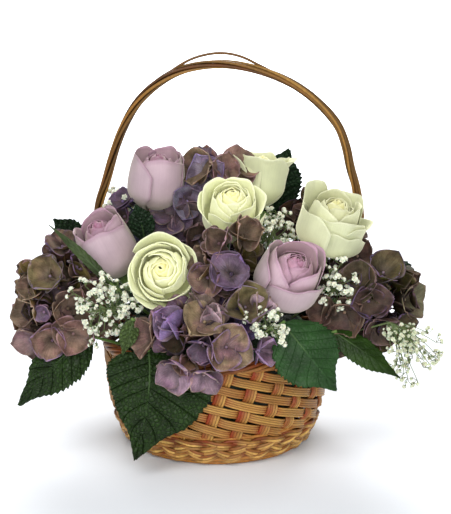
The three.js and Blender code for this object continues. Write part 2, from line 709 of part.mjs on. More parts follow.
for (const spec of ROSES) {
  const body = fittedBloom(placed(rose(spec), spec.frame), spec.stem);
  keep(spec.name, body, spec.colour, 0.55);
  const green = spec.stem.solid.add(placed(calyx(), spec.frame));
  spec.green = green;
  bloomSpaces.push(roseSpace(spec));
}
HEADS.forEach((spec, index) => {
  const body = fittedBloom(hydrangea(spec, 11 + index, [...spaces, ...bloomSpaces]), spec.stem);
  keep(spec.name, body, spec.colour);
  bloomSpaces.push(headSpace(spec));
});
for (const spec of ROSES) keep(`${spec.name}_stem`, spec.green, "stem");
for (const spec of HEADS) keep(`${spec.name}_stem`, spec.stem.solid, "stem");

// Leaves are cut off where they pass under a bloom, and keep the part on their stalk.
for (const spec of LEAVES) {
  const others = stems.filter((stem) => stem !== spec.stem).map((stem) => stem.hole);
  let fitted = leafBlade(spec);
  for (const space of [...spaces, ...bloomSpaces, ...others]) fitted = fitted.subtract(space);
  keep(spec.name, spec.stem.solid.add(fitted), spec.name === "leaf_small_front" ? "lightLeaf" : "leaf");
}

// A twig that would touch a piece placed before it is left out.
SPRAYS.forEach((spec, index) => {
  const others = finished.map((piece) => piece.solid);
  const otherStems = stems.filter((stem) => stem !== spec.stem).map((stem) => stem.solid);
  const twigs = sprayTwigs(spec, 41 + index).filter((twig) => isClear(twig, [...others, ...otherStems]));
  keep(spec.name, fused([spec.stem.solid, ...twigs]), "breath");
});

// ---------------------------------------------------------------- the group

const arrangement = new THREE.Group();
for (const { name, solid, colour, roughness } of finished) {
  const material = new THREE.MeshStandardMaterial({ color: COLOURS[colour], roughness, metalness: 0 });
  const mesh = new THREE.Mesh(geometryFrom(solid), material);
  mesh.name = name;
  arrangement.add(mesh);
}
const box = new THREE.Box3().setFromObject(arrangement);
const middle = box.getCenter(new THREE.Vector3());
arrangement.position.set(-middle.x, -middle.y, -box.min.z);

const part = new THREE.Group();
part.add(arrangement);

export default part;
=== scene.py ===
"""The looks of a flower basket arrangement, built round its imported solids.

Shapes are laid out in millimetres round the basket's own axis, -Y to the front, and are
moved into the frame when a piece is made. Roses, hydrangea heads, sprays and leaves stand
where their solids stand, and keep their form.
"""

import math

import bpy
import numpy as np
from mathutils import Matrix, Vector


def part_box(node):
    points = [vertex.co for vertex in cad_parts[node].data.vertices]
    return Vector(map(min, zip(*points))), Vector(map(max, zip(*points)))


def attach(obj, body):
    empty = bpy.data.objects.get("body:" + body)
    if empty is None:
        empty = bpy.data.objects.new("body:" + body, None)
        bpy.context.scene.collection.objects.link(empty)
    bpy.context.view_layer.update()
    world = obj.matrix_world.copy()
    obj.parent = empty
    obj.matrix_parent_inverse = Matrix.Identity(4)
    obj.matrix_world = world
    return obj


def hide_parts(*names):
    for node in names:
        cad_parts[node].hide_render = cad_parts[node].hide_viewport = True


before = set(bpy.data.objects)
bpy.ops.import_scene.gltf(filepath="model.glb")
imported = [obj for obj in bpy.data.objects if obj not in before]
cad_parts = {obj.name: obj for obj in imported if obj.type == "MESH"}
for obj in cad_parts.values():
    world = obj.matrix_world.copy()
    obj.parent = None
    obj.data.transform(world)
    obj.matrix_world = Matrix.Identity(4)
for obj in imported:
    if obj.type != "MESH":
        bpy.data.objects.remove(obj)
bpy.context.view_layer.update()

MM = 0.001
TURN = 2 * math.pi
foam_low, foam_high = (np.array(corner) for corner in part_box("foam"))
AXIS = (foam_low + foam_high) / 2 * (1, 1, 0)  # where the basket's axis meets the table

# ---------------------------------------------------------------- layout

FOCUS = np.array([0, 0, 70.0])  # every stem points at this spot inside the foam
STEM_START = 30
STEM_RADIUS = 2.3
PETIOLE_RADIUS = 1.5
SPRAY_STEM_RADIUS = 0.9

# Blooms: the middle, the way it faces, radius, height, and how open it is.
ROSES = {
    "rose_lavender_top": ([-60, -5, 264], [0.1, -0.15, 1], 29, 60, 0.1),
    "rose_lavender_left": ([-106, -42, 206], [-0.35, -0.35, 0.85], 30, 66, 0.15),
    "rose_lavender_front": ([68, -86, 188], [0.3, -0.55, 0.75], 32, 62, 0.2),
    "rose_white_middle": ([14, -40, 245], [0.05, -0.6, 0.75], 32, 52, 0.8),
    "rose_white_back": ([43, 27, 258], [0.1, 0.1, 1], 31, 54, 0.6),
    "rose_white_right": ([110, -48, 231], [0.25, -0.3, 0.9], 33, 58, 0.7),
    "rose_white_front": ([-51, -86, 194], [-0.05, -0.93, 0.35], 33, 50, 0.8),
}

# Hydrangea heads: the middle, radii, and the palette of their sepals.
HEADS = {
    "hydrangea_left": ([-155, -40, 152], [42, 34, 57], "taupe"),
    "hydrangea_top": ([-8, 30, 248], [40, 34, 40], "mauve"),
    "hydrangea_front": ([-10, -105, 133], [44, 33, 39], "lilac"),
    "hydrangea_right": ([147, -48, 152], [54, 35, 45], "olive"),
    "hydrangea_middle": ([15, -72, 179], [31, 28, 38], "green"),
    "hydrangea_under_rose": ([-58, 27, 214], [42, 30, 32], "blue"),
    "hydrangea_back_left": ([-84, 68, 186], [40, 38, 42], "dark"),
    "hydrangea_back_right": ([106, 46, 200], [42, 38, 42], "olive"),
    "hydrangea_back": ([4, 96, 158], [44, 36, 42], "lilac"),
}

# Leaves: where the blade starts, a point it bends over, its tip, its half width, the way
# its upper face looks, and its teeth on each edge.
LEAVES = {
    "leaf_front_left": ([-64, -113, 124], [-58, -136, 92], [-77, -126, 20], 54, [0.05, -1, 0.25], 22),
    "leaf_low_left": ([-122, -79, 128], [-152, -94, 112], [-192, -80, 58], 27, [-0.25, -0.85, 0.45], 17),
    "leaf_front_right": ([62, -116, 152], [86, -136, 126], [113, -122, 88], 32, [0.15, -1, 0.3], 17),
    "leaf_right_narrow": ([112, -92, 136], [140, -104, 120], [176, -92, 90], 14, [0.3, -0.9, 0.5], 15),
    "leaf_back_top": ([56, 66, 212], [60, 74, 252], [74, 64, 284], 26, [0, -1, 0.1], 14),
    "leaf_far_left": ([-130, 24, 186], [-150, 26, 206], [-164, 16, 222], 15, [-0.3, -0.8, 0.5], 10),
    "leaf_spear_left": ([-100, -76, 178], [-128, -84, 212], [-160, -64, 234], 5, [-0.3, -0.8, 0.5], 12),
    "leaf_middle": ([-70, -38, 212], [-72, -44, 232], [-78, -46, 250], 13, [0, -1, 0.2], 9),
    "leaf_far_right": ([158, 26, 176], [186, 18, 172], [204, 2, 138], 24, [0.2, -0.6, 0.8], 15),
    "leaf_small_front": ([-78, -106, 152], [-82, -118, 142], [-88, -120, 122], 9, [0, -1, 0.3], 8),
    "leaf_back_left": ([-92, 94, 138], [-122, 112, 126], [-146, 120, 86], 26, [-0.4, 0.8, 0.5], 14),
    "leaf_back_right": ([96, 92, 138], [124, 110, 126], [148, 116, 86], 26, [0.4, 0.8, 0.5], 14),
    "leaf_back_low": ([-34, 120, 128], [-42, 140, 104], [-46, 136, 56], 26, [0, 1, 0.3], 14),
}

# Sprays of baby's breath: the middle and radii of the cloud, its number of flowers, and
# for a drooping spray the hub above it where its stem ends.
SPRAYS = {
    "spray_left": ([-106, -88, 158], [36, 22, 36], 150, None),
    "spray_top": ([54, -22, 214], [24, 18, 34], 120, None),
    "spray_right": ([114, -78, 176], [17, 17, 24], 70, None),
    "spray_far_right": ([194, -84, 108], [34, 18, 34], 230, [166, -92, 146]),
    "spray_front": ([50, -128, 150], [22, 12, 16], 52, None),
    "spray_top_left": ([-98, 2, 246], [13, 16, 14], 24, None),
    "spray_back": ([42, 104, 196], [30, 20, 26], 50, None),
    "spray_back_left": ([-134, 60, 158], [26, 24, 26], 45, None),
}


def rgb(red, green, blue):
    """A linear colour from the usual 0 to 255 values."""
    share = np.array([red, green, blue]) / 255
    return np.where(share <= 0.04045, share / 12.92, ((share + 0.055) / 1.055) ** 2.4)


def unit(vector):
    """The same way with a length of 1, for one vector or many."""
    vector = np.asarray(vector, float)
    return vector / np.maximum(np.linalg.norm(vector, axis=-1, keepdims=True), 1e-9)


def lerp(low, high, share):
    """What lies some share of the way from low to high."""
    return low + (high - low) * share


def smooth(share):
    """A share kept from 0 to 1, with an easy start and end."""
    share = np.clip(share, 0, 1)
    return share * share * (3 - 2 * share)


def together(*parts):
    """Numbers and arrays side by side, along a new last axis."""
    return np.stack(np.broadcast_arrays(*parts), -1)


def around(count):
    """Even turns round a circle, in radians."""
    return np.arange(count) * TURN / count


# ---------------------------------------------------------------- meshes

PLAIN = (0, 0, 0, 0)  # the mark where the material reads none
# Painted shade and light on round canes, set into their tints:
SHADED = 0.22  # how light a round cane is where it touches its neighbours
LIT = 1.12  # and where it faces out


def border(grid):
    """The values round the edge of a grid, in turn."""
    return np.concatenate([grid[0, :-1], grid[:-1, -1], grid[-1, :0:-1], grid[:0:-1, 0]])


class Surface:
    """Closed plates and tubes gathered into one mesh, with a tint and a mark at each point.

    The tint is the colour. What the four numbers of the mark mean is said by the material.
    """

    def __init__(self):
        self.points = []
        self.tints = []
        self.marks = []
        self.faces = []
        self.count = 0

    def add(self, points, tint, mark):
        """Adds points, and gives their numbers in the mesh."""
        shape = points.shape[:-1]
        self.points.append(points.reshape(-1, 3))
        self.tints.append(np.broadcast_to(tint, shape + (3,)).reshape(-1, 3))
        self.marks.append(np.broadcast_to(mark, shape + (4,)).reshape(-1, 4))
        first = self.count
        self.count += self.points[-1].shape[0]
        return first + np.arange(self.count - first).reshape(shape)

    def quads(self, a, b, c, d):
        self.faces.extend(together(a, b, c, d).reshape(-1, 4).tolist())

    def plate(self, grid, thickness, tint, mark, under=None):
        """A thin closed plate on a grid of points; under is the tint of its other face."""
        normal = unit(np.cross(np.gradient(grid, axis=1), np.gradient(grid, axis=0)))
        top = self.add(grid + normal * thickness / 2, tint, mark)
        low = self.add(grid - normal * thickness / 2, tint if under is None else under, mark)
        self.quads(top[:-1, :-1], top[:-1, 1:], top[1:, 1:], top[1:, :-1])
        self.quads(low[1:, :-1], low[1:, 1:], low[:-1, 1:], low[:-1, :-1])
        above = border(top)
        below = border(low)
        self.quads(np.roll(above, -1), above, below, np.roll(below, -1))

    def tube(self, rings, tint, mark):
        """A closed tube through rings of points, each ring turning left round the way on."""
        at = self.add(rings, tint, mark)
        beside = np.roll(at, -1, axis=1)
        self.quads(at[:-1], beside[:-1], beside[1:], at[1:])
        self.faces.append(at[0, ::-1].tolist())
        self.faces.append(at[-1].tolist())

    def ring(self, rings, tint, mark):
        """A tube whose last ring joins its first."""
        at = self.add(rings, tint, mark)
        beside = np.roll(at, -1, axis=1)
        on = np.roll(at, -1, axis=0)
        self.quads(at, beside, np.roll(on, -1, axis=1), on)

    def mesh(self, name):
        mesh = bpy.data.meshes.new(name)
        points = np.concatenate(self.points) * MM + AXIS
        mesh.from_pydata(points.tolist(), [], self.faces)
        tints = np.concatenate([np.concatenate(self.tints), np.ones((self.count, 1))], 1)
        for attribute, values in (("tint", tints), ("mark", np.concatenate(self.marks))):
            layer = mesh.attributes.new(attribute, "FLOAT_COLOR", "POINT")
            layer.data.foreach_set("color", values.astype(np.float32).ravel())
        mesh.polygons.foreach_set("use_smooth", [True] * len(mesh.polygons))
        return mesh


def put(name, data):
    """A new object in the scene."""
    made = bpy.data.objects.new(name, data)
    bpy.context.scene.collection.objects.link(made)
    return made


def show(surface, name, finish, slot, *nodes):
    """Makes a surface into a piece that stands for those nodes."""
    piece = put(name, surface.mesh(name))
    piece.data.materials.append(finish)
    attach(piece, "root")
    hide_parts(*nodes)


def sweep(path, section, out, closed=False):
    """Rings of a section carried along a path. out is the way that the section's first
    number points; the section is one ring of pairs, or one ring for each point."""
    if closed:
        along = unit(np.roll(path, -1, axis=0) - np.roll(path, 1, axis=0))
    else:
        along = unit(np.gradient(path, axis=0))
    out = unit(out - np.sum(out * along, 1, keepdims=True) * along)
    side = np.cross(along, out)
    return path[:, None] + section[..., 0:1] * out[:, None] + section[..., 1:2] * side[:, None]


def round_section(radius, sides):
    """The section of a round stick, for one radius or for one at each point of its path."""
    turn = around(sides)
    return together(np.cos(turn), np.sin(turn)) * np.reshape(radius, (-1, 1, 1))


def painted_cane_shading(sides, lit=0.0):
    """Painted shade and light on the sides of a round cane; lit is the turn of the side that faces out.
    """
    facing = np.cos(around(sides) - np.asarray(lit)[..., None])
    return lerp(SHADED, LIT, smooth(facing * 0.62 + 0.4))[..., None]


def across_of(direction):
    """Some direction square to the one given."""
    other = [1, 0, 0] if abs(direction[0]) < 0.8 else [0, 1, 0]
    return unit(np.cross(direction, other))


def round_stick(surface, path, radius, sides, tint, mark=PLAIN):
    """A round stick along a path."""
    out = across_of(path[-1] - path[0])
    surface.tube(sweep(path, round_section(radius, sides), out), tint, mark)


def hoop(surface, path, radius, sides, out, tint, mark):
    """A round cane along a path that ends where it starts."""
    rings = sweep(path, round_section(radius, sides), out, closed=True)
    surface.ring(rings, tint, mark[:, None])


def stand(grid, centre, right, front, up):
    """A grid of points moved from some frame of its own to where that frame stands."""
    return centre + grid[..., :1] * right + grid[..., 1:2] * front + grid[..., 2:] * up


def button(surface, centre, axis, outline, tint, mark):
    """A small closed cup on an axis, from the radius and the height of each of its rings."""
    side = across_of(axis)
    turns = around(6)[:, None]
    ways = np.cos(turns) * side + np.sin(turns) * np.cross(axis, side)
    rings = [centre + ways * radius + axis * height for radius, height in outline]
    surface.tube(np.array(rings), tint, mark)


def arc_path(start, end, bow, steps):
    """Points from start to end, bowed sideways by some vector."""
    t = np.linspace(0, 1, steps)[:, None]
    return lerp(start, end, t) + bow * 4 * t * (1 - t)


def run_along(points, power=1.0):
    """How far along a path each of its points is, each step counted to some power."""
    steps = np.linalg.norm(np.diff(points, axis=0), axis=1) ** power
    return np.concatenate([[0], np.cumsum(steps)])


def between(t, low, high, first, last):
    """Where something is at t that is first at low and last at high."""
    return (high - t) / (high - low) * first + (t - low) / (high - low) * last


def smooth_path(corners, steps):
    """A centripetal Catmull-Rom curve through points, read at even steps of its length."""
    corners = np.asarray(corners, float)
    known = np.vstack([2 * corners[:1] - corners[1:2], corners, 2 * corners[-1:] - corners[-2:-1]])
    times = run_along(known, 0.5)
    pieces = []
    for k in range(1, len(known) - 2):
        t0, t1, t2, t3 = times[k - 1:k + 3]
        p0, p1, p2, p3 = known[k - 1:k + 3]
        t = np.linspace(t1, t2, 24, endpoint=False)[:, None]
        middle = between(t, t1, t2, p1, p2)
        early = between(t, t0, t2, between(t, t0, t1, p0, p1), middle)
        late = between(t, t1, t3, middle, between(t, t2, t3, p2, p3))
        pieces.append(between(t, t1, t2, early, late))
    curve = np.vstack(pieces + [known[-2:-1]])
    length = run_along(curve)
    even = np.linspace(0, length[-1], steps)
    return together(*(np.interp(even, length, place) for place in curve.T))


# ---------------------------------------------------------------- finishes


class Finish:
    """A material whose Principled shader is fed by procedural nodes."""

    def __init__(self, name, **sockets):
        self.material = bpy.data.materials.new(name)
        self.material.use_nodes = True
        self.tree = self.material.node_tree
        self.shader = self.tree.nodes["Principled BSDF"]
        for socket, value in sockets.items():
            self.shader.inputs[socket.replace("_", " ")].default_value = value

    def node(self, kind, inputs, output=0, **settings):
        made = self.tree.nodes.new("ShaderNode" + kind)
        for key, value in settings.items():
            setattr(made, key, value)
        for key, value in inputs.items():
            if isinstance(value, bpy.types.NodeSocket):
                self.tree.links.new(value, made.inputs[key])
            else:
                made.inputs[key].default_value = value
        return made.outputs[output]

    def attribute(self, name, output="Color"):
        return self.node("Attribute", {}, output, attribute_name=name)

    def mark(self):
        """The four numbers of the mark."""
        vector = self.attribute("mark")
        split = [self.node("SeparateXYZ", {0: vector}, k) for k in range(3)]
        return split + [self.attribute("mark", "Alpha")]

    def tinted(self, factor):
        """The tint, made lighter or darker."""
        tint = self.attribute("tint")
        return self.node("VectorMath", {0: tint, "Scale": factor}, operation="SCALE")

    def math(self, operation, a, b=0.0):
        return self.node("Math", {0: a, 1: b}, operation=operation)

    def times(self, a, b):
        return self.math("MULTIPLY", a, b)

    def place(self):
        return self.node("TexCoord", {}, "Object")

    def noise(self, vector, scale, detail, rough=0.5):
        inputs = {"Vector": vector, "Scale": scale, "Detail": detail, "Roughness": rough}
        return self.node("TexNoise", inputs)

    def cloud(self, scale, detail=3.0, rough=0.5):
        """Noise through space."""
        return self.noise(self.place(), scale, detail, rough)

    def streaks(self, places, factors, scale):
        """Noise along and across a piece, drawn out by a factor for each of three places."""
        spots = dict(enumerate(map(self.times, places, factors)))
        return self.noise(self.node("CombineXYZ", spots), scale, 3.0)

    def net(self, scale):
        """How far each place is from the edge of its cell in a net."""
        inputs = {"Vector": self.place(), "Scale": scale}
        return self.node("TexVoronoi", inputs, "Distance", feature="DISTANCE_TO_EDGE")

    def spread(self, value, low, high, to_low, to_high):
        inputs = {0: value, 1: low, 2: high, 3: to_low, 4: to_high}
        return self.node("MapRange", inputs, clamp=True)

    def varied(self, noise, low, high):
        """Noise spread from low to high."""
        return self.spread(noise, 0.3, 0.7, low, high)

    def blend(self, factor, a, b):
        return self.node("Mix", {0: factor, 6: a, 7: b}, 2, data_type="RGBA")

    def colour(self, socket):
        self.tree.links.new(socket, self.shader.inputs["Base Color"])

    def bump(self, height, distance, strength):
        normal = self.node("Bump", {"Height": height, "Distance": distance, "Strength": strength})
        self.tree.links.new(normal, self.shader.inputs["Normal"])


# a red-brown that is partly the canes' dye and partly painted shade in recesses
RED_DYE_AND_SHADE = rgb(132, 48, 22)


def paint(colour):
    """A colour as a socket takes it."""
    return tuple(colour) + (1.0,)


def cane_finish():
    """Split cane. The mark holds: distance along in centimetres, place across, a number of
    the cane's own, and how much red it has taken, which is dye and painted shade in recesses."""
    finish = Finish("cane", Roughness=0.42, Specular_IOR_Level=0.22)
    *places, dye_and_shade = finish.mark()
    fibres = finish.streaks(places, (0.9, 9.0, 40.0), 3.0)
    blotch = finish.cloud(60.0, 2.0)
    tone = finish.times(finish.varied(fibres, 0.78, 1.16), finish.varied(blotch, 0.86, 1.1))
    # red where the mark asks for it: dye, and painted shade in recesses
    stain_and_shade = finish.times(dye_and_shade, finish.spread(blotch, 0.38, 0.6, 0.45, 1.0))
    finish.colour(finish.blend(stain_and_shade, finish.tinted(tone), paint(RED_DYE_AND_SHADE)))
    finish.bump(fibres, 0.0004, 0.5)
    return finish.material


def petal_finish(name, sheen):
    """Petals. The mark holds: place along the petal, place across it and a number of the
    petal's own."""
    finish = Finish(name, Roughness=0.55, Specular_IOR_Level=0.3, Subsurface_Weight=0.15,
                    Subsurface_Scale=0.004, Subsurface_Radius=(1.0, 0.95, 0.85),
                    Sheen_Weight=sheen, Sheen_Roughness=0.5, Sheen_Tint=(1, 1, 0.7, 1))
    veins = finish.streaks(finish.mark()[:3], (2.0, 34.0, 50.0), 1.0)
    cloud = finish.cloud(70.0)
    tone = finish.times(finish.varied(veins, 0.96, 1.03), finish.varied(cloud, 0.93, 1.05))
    finish.colour(finish.tinted(tone))
    finish.bump(finish.math("ADD", veins, cloud), 0.0006, 0.3)
    return finish.material


def sepal_finish():
    """Sepals of a hydrangea, with a net of veins. The mark holds: place along, place
    across, a number of the floret's own and a number of the sepal's own."""
    finish = Finish("sepal", Roughness=0.6, Specular_IOR_Level=0.1, Subsurface_Weight=0.08,
                    Subsurface_Scale=0.002)
    along, across, _, own = finish.mark()
    fan = finish.math("DIVIDE", across, finish.math("ADD", along, 0.25))
    ribs = finish.streaks((fan, along, own), (15.0, 1.6, 60.0), 1.0)
    net = finish.net(420.0)
    tone = finish.times(finish.spread(ribs, 0.34, 0.66, 0.82, 1.1),
                        finish.spread(net, 0.0, 0.16, 0.88, 1.03))
    patches = finish.spread(finish.cloud(95.0), 0.36, 0.66, 0.56, 1.32)
    plain = finish.tinted(finish.times(tone, patches))
    flush = finish.spread(finish.cloud(60.0, 2.0), 0.46, 0.62, 0.0, 0.8)
    mauve = finish.node("VectorMath", {0: plain, 1: (1.06, 0.9, 1.08)}, operation="MULTIPLY")
    finish.colour(finish.blend(flush, plain, mauve))
    finish.bump(finish.math("ADD", ribs, finish.spread(net, 0.0, 0.12, 0.0, 0.35)), 0.0005, 0.4)
    return finish.material


def leaf_finish():
    """Leaves. The mark holds: place along, place across, a count that is whole on each
    side vein, and how deeply the leaf is quilted."""
    finish = Finish("leaf", Roughness=0.42, Specular_IOR_Level=0.16)
    _, across, count, quilted = finish.mark()
    ripple = finish.math("ABSOLUTE", finish.math("SUBTRACT", finish.math("FRACT", count), 0.5))
    # painted shade: the side veins are darkened, as shaded grooves
    side_vein = finish.times(finish.spread(ripple, 0.45, 0.5, 0.0, 1.0), quilted)
    middle = finish.spread(finish.math("ABSOLUTE", across), 0.006, 0.03, 1.0, 0.0)
    # painted light and shade: each cell is lighter in its middle and darker at its edges; it also makes
    # the bump
    cell = finish.times(finish.spread(finish.net(250.0), 0.0, 0.3, -0.34, 0.3), quilted)
    tone = finish.times(finish.math("ADD", cell, 1.0), finish.varied(finish.cloud(55.0), 0.7, 1.3))
    veined = finish.blend(finish.times(side_vein, 0.5), finish.tinted(tone), finish.tinted(0.5))
    finish.colour(finish.blend(finish.times(middle, 0.4), veined, finish.tinted(2.2)))
    finish.bump(finish.math("SUBTRACT", cell, side_vein), 0.0014, 1.0)
    return finish.material


def plain_finish(name, roughness, scale, low, high, **sockets):
    """A tinted surface that varies a little from place to place."""
    finish = Finish(name, Roughness=roughness, **sockets)
    grain = finish.cloud(scale)
    finish.colour(finish.tinted(finish.varied(grain, low, high)))
    finish.bump(grain, 0.0004, 0.5)
    return finish.material


def dress_solid(name, colour, dark, roughness, scale, depth):
    """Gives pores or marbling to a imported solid, which has no tint of its own."""
    finish = Finish(name, Roughness=roughness)
    grain = finish.cloud(scale, 4.0, 0.6)
    share = finish.spread(grain, 0.35, 0.65, 0.0, 1.0)
    finish.colour(finish.blend(share, paint(dark), paint(colour)))
    finish.bump(grain, depth, 0.7)
    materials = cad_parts[name].data.materials
    materials.clear()
    materials.append(finish.material)


# ---------------------------------------------------------------- basket

# The wall's outer side: heights, and the radius at each.
WALL_HEIGHTS = [2.5, 18, 33, 43, 64, 78, 98]
WALL_RADII = [79, 91, 101, 106, 109, 109.5, 112]
MEAN_RADIUS = 109
MIDDLE_HEIGHT = 65
STAKES = 24
STAKE_LOW = 24
STAKE_TOP = 104
STAKE_HALF = 5.8
STRIPS = 18
STRIP_FALL = 0.3  # how far a strip falls for its run round the basket
STRIP_TOP = 103
STRIP_LOW = 22
STRIP_HALF = 4.4
WEAVE_DEPTH = 2.1
BUNDLE_CANES = 4
CANE_POINTS = 5  # points across one cane of a bundle
CANE_SIDES = 7  # of a round cane
CANE = rgb(172, 121, 56)
CANE_LIGHT = rgb(196, 155, 84)
CANE_DARK = rgb(108, 56, 22)


def wall_radius(height):
    """The radius of the wall's outer side at some height."""
    return np.interp(height, WALL_HEIGHTS, WALL_RADII)


def round_wall(angle, radius, height):
    """Points round the basket's axis."""
    return together(radius * np.cos(angle), radius * np.sin(angle), height)


def outward(angle):
    """The way out from the basket's axis."""
    return together(np.cos(angle), np.sin(angle), 0)


def stake_lean(height):
    """How far round a stake has leant at some height, to stand square to the strips."""
    return STRIP_FALL * (height - MIDDLE_HEIGHT) / MEAN_RADIUS


def flat_bundle(half, swell):
    """The section of a flat bundle of canes side by side, how far out on its cane each
    point of it is, and which cane that is."""
    points = BUNDLE_CANES * CANE_POINTS + 1
    lobes = np.abs(np.sin(np.linspace(0, BUNDLE_CANES * math.pi, points)))
    outer = together(0.35 + swell * lobes, np.linspace(-1, 1, points) * half)
    inner = together(-0.6, np.linspace(1, -1, CANE_POINTS) * half * 0.96)
    cane_of = np.minimum(np.arange(points) // CANE_POINTS, BUNDLE_CANES - 1)
    # the inner face gets a low share, so that it takes painted shade
    lobe = np.concatenate([lobes, np.full(CANE_POINTS, 0.3)])
    cane_of = np.concatenate([cane_of, np.zeros(CANE_POINTS, int)])
    return np.vstack([outer, inner]), lobe, cane_of


def lay_bundle(surface, path, angle, bundle, length, dye_and_shade, draw):
    """Lays a bundle along a path of some length in centimetres. Each of its canes has a
    tone of its own, and painted shade at its edges and on the bundle's inner face."""
    section, lobe, cane_of = bundle
    along = np.linspace(0, length, len(path))[:, None]
    mark = together(along, np.linspace(-1, 1, len(section)), draw.random(), dye_and_shade)
    shades = lerp(CANE_DARK, CANE_LIGHT, draw.uniform(0.25, 1.0, (BUNDLE_CANES, 1)))
    # painted shade: darker towards each cane's edges, where it meets the next
    tints = lerp(CANE, shades, 0.6)[cane_of] * lerp(0.34, 1.0, lobe ** 0.5)[:, None]
    surface.tube(sweep(path, section, outward(angle)), tints, mark)


def weave_strips():
    """Flat strips that run down round the basket, over one stake and under the next."""
    surface = Surface()
    draw = np.random.default_rng(3)
    bundle = flat_bundle(STRIP_HALF, 0.7)
    height = np.linspace(STRIP_TOP, STRIP_LOW, 190)
    for k in range(STRIPS):
        angle = k * TURN / STRIPS + (STRIP_TOP - height) / (STRIP_FALL * MEAN_RADIUS)
        crossing = (angle - stake_lean(height)) * STAKES / TURN + k
        gap = np.abs((crossing + 2) % 2 - 1)  # 0 where a stake lies over the strip
        dip = np.exp(-(gap / 0.3) ** 2)
        drift = 0.5 * np.sin(height * 0.21 + k * 2.1)
        depth = WEAVE_DEPTH * (1 - 2 * dip) + 0.25 * np.sin(height * 0.13 + k)
        path = round_wall(angle, wall_radius(height) + depth, height + drift)
        # Red that is partly random dye and partly painted shade, strongest where the strip dips under a
        # stake and between its canes.
        dye_and_shade = np.clip(dip * 1.6 + 0.25 * draw.random(), 0, 1)[:, None]
        dye_and_shade = dye_and_shade * np.clip(1.3 - bundle[1], 0.35, 1)
        lay_bundle(surface, path, angle, bundle, 27, dye_and_shade, draw)
    return surface


def weave_stakes():
    """Upright stakes, bundles of four canes that lean square to the strips."""
    surface = Surface()
    draw = np.random.default_rng(4)
    bundle = flat_bundle(STAKE_HALF, 0.8)
    height = np.linspace(STAKE_LOW, STAKE_TOP, 90)
    row_fall = STRIP_FALL * MEAN_RADIUS
    pitch = row_fall * TURN / STRIPS
    reddish = np.clip(np.linspace(1.0, -0.6, len(bundle[0])), 0, 1)
    for k in range(STAKES):
        angle = k * TURN / STAKES + stake_lean(height)
        row = (height - STRIP_TOP + row_fall * angle) / pitch
        depth = -0.9 * WEAVE_DEPTH * np.cos(math.pi * (row + k))
        path = round_wall(angle, wall_radius(height) + depth, height)
        dye_and_shade = np.clip(reddish * 1.1 + 0.2 * draw.random(), 0, 1)
        lay_bundle(surface, path, angle, bundle, 8, dye_and_shade, draw)
    return surface


FLOOR_HEIGHT = 7.0
FLOOR_FLAT = 78  # the radius where the floor starts to rise to the wall
FLOOR_RADII = np.arange(6, 92, 3.4)
FLOOR_CANE = 1.7
SPOKES = 12
SPOKE_RADIUS = 2.2
SPOKE_OUTLINE = ((4, 7), (50, 7), (80, 7.5), (95, 22))  # places from the axis, and heights


def basket_floor():
    """The round woven bottom: canes in rings over spokes that run on into the stakes."""
    surface = Surface()
    draw = np.random.default_rng(5)
    turn = around(120)
    for radius in FLOOR_RADII:
        wave = 1.3 * np.sin(turn * SPOKES + radius)
        height = FLOOR_HEIGHT + 0.75 * max(radius - FLOOR_FLAT, 0) + wave
        path = round_wall(turn, radius, height)
        mark = together(turn * radius / 10, 0, draw.random(), 0.15)
        tint = lerp(CANE_DARK, CANE, draw.random())
        hoop(surface, path, FLOOR_CANE, 6, np.array([0, 0, 1.0]), tint, mark)
    for k in range(SPOKES):
        way = outward(k * TURN / SPOKES)
        path = smooth_path([way * reach + [0, 0, height] for reach, height in SPOKE_OUTLINE], 20)
        round_stick(surface, path, SPOKE_RADIUS, 6, CANE_DARK, (0, 0, draw.random(), 0.2))
    return surface


BRAID_STRANDS = 5
BRAID_WAVES = 22  # of one cane, in the five times that it runs round the basket
BRAID_HALF = 9.6  # how far a strand swings up and down
BRAID_DEPTH = 1.9  # and in and out
BRAID_SHADES = [0.5, 1.0, 0.25]  # of the canes that lie side by side in a strand
BRAID_GAP = 3.4  # from one of them to the next
BRAID_CANE = 1.65
FOOT_MIDDLE = np.array([97.2, 16.8])  # radius and height
FOOT_RISE = unit([13.0, 28.0])  # the way up the flare
FOOT_OUT = unit([28.0, -13.0])  # the way out of it
FOOT_LOW = 2.2
FOOT_TOP = 31.5
# Plain rings under and over the plait: radius, height and thickness.
FOOT_RINGS = ((84, 2.0, 1.9), (88, 2.6, 2.1), (101.4, 31.4, 1.5), (92, 7, 2.0))


